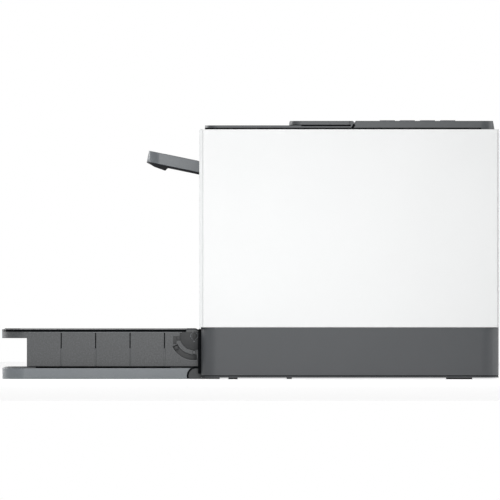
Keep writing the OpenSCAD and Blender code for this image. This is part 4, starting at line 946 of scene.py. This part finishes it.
class PRINTER_OT_board_details(bpy.types.Operator):
    """Add chip legs, capacitors, plugs, a heat sink and a transformer to the circuit boards"""

    bl_idname = "printer.board_details"
    bl_label = "Circuit board details"

    def execute(self, context):
        left, front = sides("main_board")[0][:2]
        skin = left + 1.6

        def on_board(piece, finish):
            finish_piece(piece, "body", finish)

        for i, base in enumerate((97.0, 157.0)):
            add_block(f"chip_cap_{i + 1}", (skin, front + 15.6, base - 0.4),
                      (skin + 2.2, front + 38.4, base + 22.4), 0.3, "body", "black")
            for row, z in (("low", base - 2.0), ("high", base + 22.2)):
                add_block(f"chip_legs_{i + 1}_{row}", (skin, front + 17.0, z),
                          (skin + 0.7, front + 17.6, z + 1.8), 0.1,
                          "body", "brass", 15, (0, 1.4, 0))
        # a finned heat sink on the upper chip
        fins = new_block("heat_sink_fins", (skin + 2.2, front + 17, 159.0),
                         (skin + 9.0, front + 17.9, 177.0), 0.2)
        row_of(fins, 8, (0, 2.7, 0))
        foot = new_block("heat_sink_foot", (skin + 2.0, front + 16.5, 158.5),
                         (skin + 3.2, front + 37.5, 177.5), 0.2)
        on_board(join_pieces("heat_sink", [fins, foot]), "steel")
        # capacitors at their places along Y and Z, and open plugs along the front edge
        places = ((50, 92), (50, 106), (44, 150), (56, 172), (8, 186), (20, 186))
        for i, (y, z) in enumerate(places):
            on_board(new_disc(f"capacitor_{i + 1}", 3.2, (skin + 4.0, front + y, z), 8.0,
                              rim=0.5, points=32), "bar")
        for i, z in enumerate((84.0, 128.0, 146.0)):
            plug = new_block(f"plug_{i + 1}", (skin, front + 3.0, z),
                             (skin + 6.5, front + 9.0, z + 13.0), 0.4)
            cut_away(plug, new_block("plug_slot", (skin + 2.0, front + 4.2, z + 1.2),
                                     (skin + 9, front + 7.8, z + 11.8)))
            on_board(plug, "acetal")

        # power supply: windings on the transformer, small capacitors, finned sheet
        left, front, low_z = sides("power_supply")[0]
        top = low_z + 9.6

        def on_supply(piece, finish):
            finish_piece(piece, "body", finish)

        on_supply(new_block("transformer_winding", (left + 11.6, front + 16, top + 3.5),
                            (left + 40.4, front + 36, top + 18.5), 1.2, 3), "silicone")
        for i, (x, y) in enumerate(((52, 14), (60, 14), (68, 14), (90, 52))):
            on_supply(new_disc(f"supply_can_{i + 1}", 3.4, (left + x, front + y, top + 5.5), 11.0,
                               "Z", rim=0.5, points=32), "black")
        sheet = new_block("supply_heat_sink", (left + 48, front + 56, top),
                          (left + 84, front + 57.6, top + 20), 0.3)
        fins = new_block("supply_fins", (left + 49, front + 51, top + 2),
                         (left + 50.2, front + 56.4, top + 20), 0.2)
        row_of(fins, 9, (4.2, 0, 0))
        on_supply(join_pieces("supply_cooler", [sheet, fins]), "steel")
        return {"FINISHED"}


class PRINTER_OT_drive_details(bpy.types.Operator):
    """Add rims and hubs to the gears, flanged bushings to the frames and the motor's end cap"""

    bl_idname = "printer.drive_details"
    bl_label = "Drive details"

    def execute(self, context):
        # each gear's node, body, joint, pitch radius and the radius of its shaft or stud
        gears = (
            ("pickup_gear", "pickup", "pickup_spin", 21, 3),
            ("feed_roller", "feed", "feed_spin", 10.5, 3),
            ("drum_gear", "drum_unit", "drum_spin", 18, 3),
            ("heat_gear", "heater", "heater_spin", 15, 3),
            ("exit_roller", "exit", "exit_spin", 9, 3),
            ("idler_motor_feed", "gear_motor_feed", "motor_feed_gear_spin", 17, 4),
            ("idler_drum_fuser", "gear_drum_fuser", "drum_fuser_gear_spin", 15, 4),
            ("idler_fuser_exit", "gear_fuser_exit", "fuser_exit_gear_spin", 10, 4),
        )
        outer = sides("drum_gear")[0][0] - 0.2
        for node, body, joint, pitch, shaft in gears:
            centre = (outer, *AXES[joint][1:])
            rim = pierced_disc(f"{node}_rim", pitch - 1.6, pitch - 3.2, centre, 0.8)
            boss = pierced_disc(f"{node}_boss", shaft + 1.6, shaft + 0.8, centre, 0.8)
            face = join_pieces(f"{node}_face", [rim, boss])
            bevel_edges(face, 0.15)
            finish_piece(face, body, "acetal")
        # flanged bushings that carry the rollers in the right frame
        right = FRAME_HIGH[0]
        for shaft in ("pickup", "feed", "feed_pinch", "drum", "transfer", "heater", "presser",
                      "exit", "exit_pinch"):
            centre = (right + 0.6, *AXES[shaft + "_spin"][1:])
            flange = pierced_disc(f"bushing_{shaft}", 4.6, SHAFT_R + 0.06, centre, 1.1, rim=0.2,
                                  points=32)
            finish_piece(flange, "body", "acetal")
        # motor: end cap with its bearing boss and the cable plug
        end = sides("drive_motor")[1][0]
        y, z = AXES["motor_spin"][1:]
        cap = new_disc("motor_cap", 14.0, (end + 0.5, y, z), 1.2, rim=0.4)
        boss = new_disc("motor_boss", 5.0, (end + 1.6, y, z), 2.2, rim=0.5, points=32)
        finish_piece(join_pieces("motor_end", [cap, boss]), "body", "bar")
        add_block("motor_plug", (end - 9, y - 5, z + 17.2), (end - 3, y + 5, z + 21.5), 0.5,
                  "body", "acetal")
        # round-head screws along both frames, from each frame's lower front corner
        for side, tag in ((1, "right"), (-1, "left")):
            for i, (y, z) in enumerate(((12, 36), (12, 196), (160, 8), (60, 202))):
                place = (side * (right + 0.7), FRAME_LOW[1] + y, FRAME_LOW[2] + z)
                head = new_disc(f"frame_screw_{tag}_{i + 1}", 2.8, place, 1.4, rim=0.6, points=24)
                finish_piece(head, "body", "bar")
        return {"FINISHED"}


class PRINTER_OT_engine_details(bpy.types.Operator):
    """Add the cartridge's handle, the scanner's ribs and window and the fuser's guides"""

    bl_idname = "printer.engine_details"
    bl_label = "Print engine details"

    def execute(self, context):
        low, high = sides("toner_cartridge")
        handle = new_block("cartridge_handle", (-34, low[1] + 8, high[2] - 6),
                           (34, low[1] + 22, high[2] + 6), 2.5, 3)
        cut_away(handle, new_block("handle_window", (-27, low[1] + 4, high[2] + 0.6),
                                   (27, low[1] + 30, high[2] + 3.4)))
        finish_piece(handle, "body", "lid")
        add_block("cartridge_ribs", (-100.6, low[1] - 0.9, low[2] + 6),
                  (-99.4, low[1] + 0.2, high[2] - 14), 0.3,
                  "body", "black", 11, (20, 0, 0))
        low, high = sides("scanner_case")
        add_block("scanner_ribs", (-90.8, low[1] + 6, high[2] - 0.1),
                  (-89.2, low[1] + 70, high[2] + 1.5), 0.4,
                  "body", "black", 7, (30, 0, 0))
        add_block("scanner_window", (-104, high[1] - 2.0, high[2] - 11.6),
                  (104, high[1] - 1.0, high[2] - 2.6), 0.2, "body", "mirror")
        low, high = sides("fuser_frame")
        add_block("fuser_guides", (-99.5, low[1] - 3.0, low[2] + 2.2),
                  (-98.3, low[1] + 0.2, high[2] - 4), 0.4,
                  "body", "black", 12, (18, 0, 0))
        button = new_disc("thermostat", 5.0, (0, low[1] - 1.2, high[2] - 14), 2.6, "Y", rim=0.4,
                          points=32)
        finish_piece(button, "body", "acetal")
        # friction pad on the tray's floor, and finger ribs on the width guides
        _, back, top = sides("tray_floor")[1]
        add_block("tray_friction_pad", (-18, back - 30, top - 0.2), (18, back - 12, top + 0.35),
                  0.2, "tray", "rubber")
        for tag, wall, end in (("right", 106.4, 113), ("left", -113, -106.4)):
            node = f"width_guide_{tag}"
            top = sides(node)[1][2]
            add_block(f"{node}_ribs", (wall, -154.4, top - 22.6), (end, -153.2, top - 2), 0.3,
                      f"guide_{tag}", "inner", 4, (0, 18.5, 0))
        return {"FINISHED"}


class PRINTER_OT_stage(bpy.types.Operator):
    """Set the floor, the light and the camera at the photograph's angle"""

    bl_idname = "printer.stage"
    bl_label = "Floor, light and camera"

    def execute(self, context):
        looks = context.scene.printer_looks
        nothing_selected()
        bpy.ops.mesh.primitive_plane_add(size=looks.floor_size, location=(0, 0, 0))
        floor = bpy.context.object
        floor.name = "studio_floor"
        material, tree, shader, place = start_material("matt_white_board", "#fbfbfb", 0.9, IOR=1.3)
        mottle = add_node(tree, "TexNoise", [("Vector", place)], Scale=8.0)
        tint(tree, shader, "#ffffff", "#fdfdfd", mottle.outputs["Fac"])
        # the board glows a little, and more to the camera, so it stays white under a faint shadow
        shader.inputs["Emission Color"].default_value = (1, 1, 1, 1)
        glow = add_node(tree, "MapRange", [("Value", seen_ray(tree))],
                        To_Min=looks.floor_glow, To_Max=looks.floor_seen_glow)
        tree.links.new(glow.outputs["Result"], shader.inputs["Emission Strength"])
        floor.data.materials.append(material)

        world = bpy.data.worlds.new("studio")
        world.use_nodes = True
        context.scene.world = world
        tree = world.node_tree
        ground = tree.nodes["Background"]
        ground.inputs["Color"].default_value = (1, 1, 1, 1)
        level = add_node(tree, "MapRange", [("Value", seen_ray(tree))],
                         To_Min=looks.sky_level, To_Max=1.0)
        tree.links.new(level.outputs["Result"], ground.inputs["Strength"])

        # a softbox beside the camera's line makes the broad sheen that fades to the rear, and two
        # more, ahead and behind, lift the rounded corners beyond the dark band between them; each
        # has its place, its target and its size in metres, and its share of the side one's power
        side = PANEL_HIGH[0] * MM
        for name, place, target, size, share in (
                ("side_softbox", (side + 0.6, -0.05, 0.16), (side, -0.05, 0.16), (0.52, 0.42), 1),
                ("front_softbox", (-0.6, -1.1, 0.5), (0, -0.2, 0.05), (0.8, 0.8), 5.0),
                ("rear_softbox", (0.1, 1.3, 0.4), (0, 0.2, 0.1), (0.8, 0.8), 2.4)):
            light = bpy.data.lights.new(name, "AREA")
            light.shape = "RECTANGLE"
            light.size, light.size_y = size
            light.energy = looks.lamp_power * share
            holder = bpy.data.objects.new(name, light)
            context.scene.collection.objects.link(holder)
            holder.location = place
            aim = Vector(target) - Vector(place)
            holder.rotation_euler = aim.to_track_quat("-Z", "Y").to_euler()
            holder.visible_camera = False

        camera = bpy.data.objects.new("camera", bpy.data.cameras.new("camera"))
        context.scene.collection.objects.link(camera)
        camera.data.lens = looks.camera_focal
        camera.data.sensor_width = 36
        camera.data.clip_end = 100
        # the picture's middle lies 0.36 mm in front of the origin and 116.55 mm above the floor
        camera.location = (side + looks.camera_distance, -0.36 * MM, 116.55 * MM)
        camera.rotation_euler = (math.pi / 2, 0, math.pi / 2)
        context.scene.camera = camera
        context.scene.view_settings.view_transform = "Standard"
        return {"FINISHED"}


class PRINTER_PT_panel(bpy.types.Panel):
    """Sidebar panel with the printer's operators and settings"""

    bl_label = "Laser printer"
    bl_space_type = "VIEW_3D"
    bl_region_type = "UI"
    bl_category = "Printer"

    def draw(self, context):
        for operator in OPERATORS:
            self.layout.operator(operator.bl_idname)
        looks = context.scene.printer_looks
        for name in PrinterLooks.__annotations__:
            self.layout.prop(looks, name)


OPERATORS = (
    PRINTER_OT_finishes, PRINTER_OT_cover_details, PRINTER_OT_cover_pins, PRINTER_OT_top_details,
    PRINTER_OT_output_support, PRINTER_OT_base_and_tray_lines, PRINTER_OT_rear_details,
    PRINTER_OT_board_details, PRINTER_OT_drive_details, PRINTER_OT_engine_details,
    PRINTER_OT_stage)
CLASSES = (PrinterLooks,) + OPERATORS + (PRINTER_PT_panel,)


def register():
    for each in CLASSES:
        bpy.utils.register_class(each)
    bpy.types.Scene.printer_looks = PointerProperty(type=PrinterLooks)


def unregister():
    del bpy.types.Scene.printer_looks
    for each in reversed(CLASSES):
        bpy.utils.unregister_class(each)


def main():
    register()
    for operator in OPERATORS:
        getattr(bpy.ops.printer, operator.bl_idname.split(".")[1])()


if __name__ == "__main__":
    main()
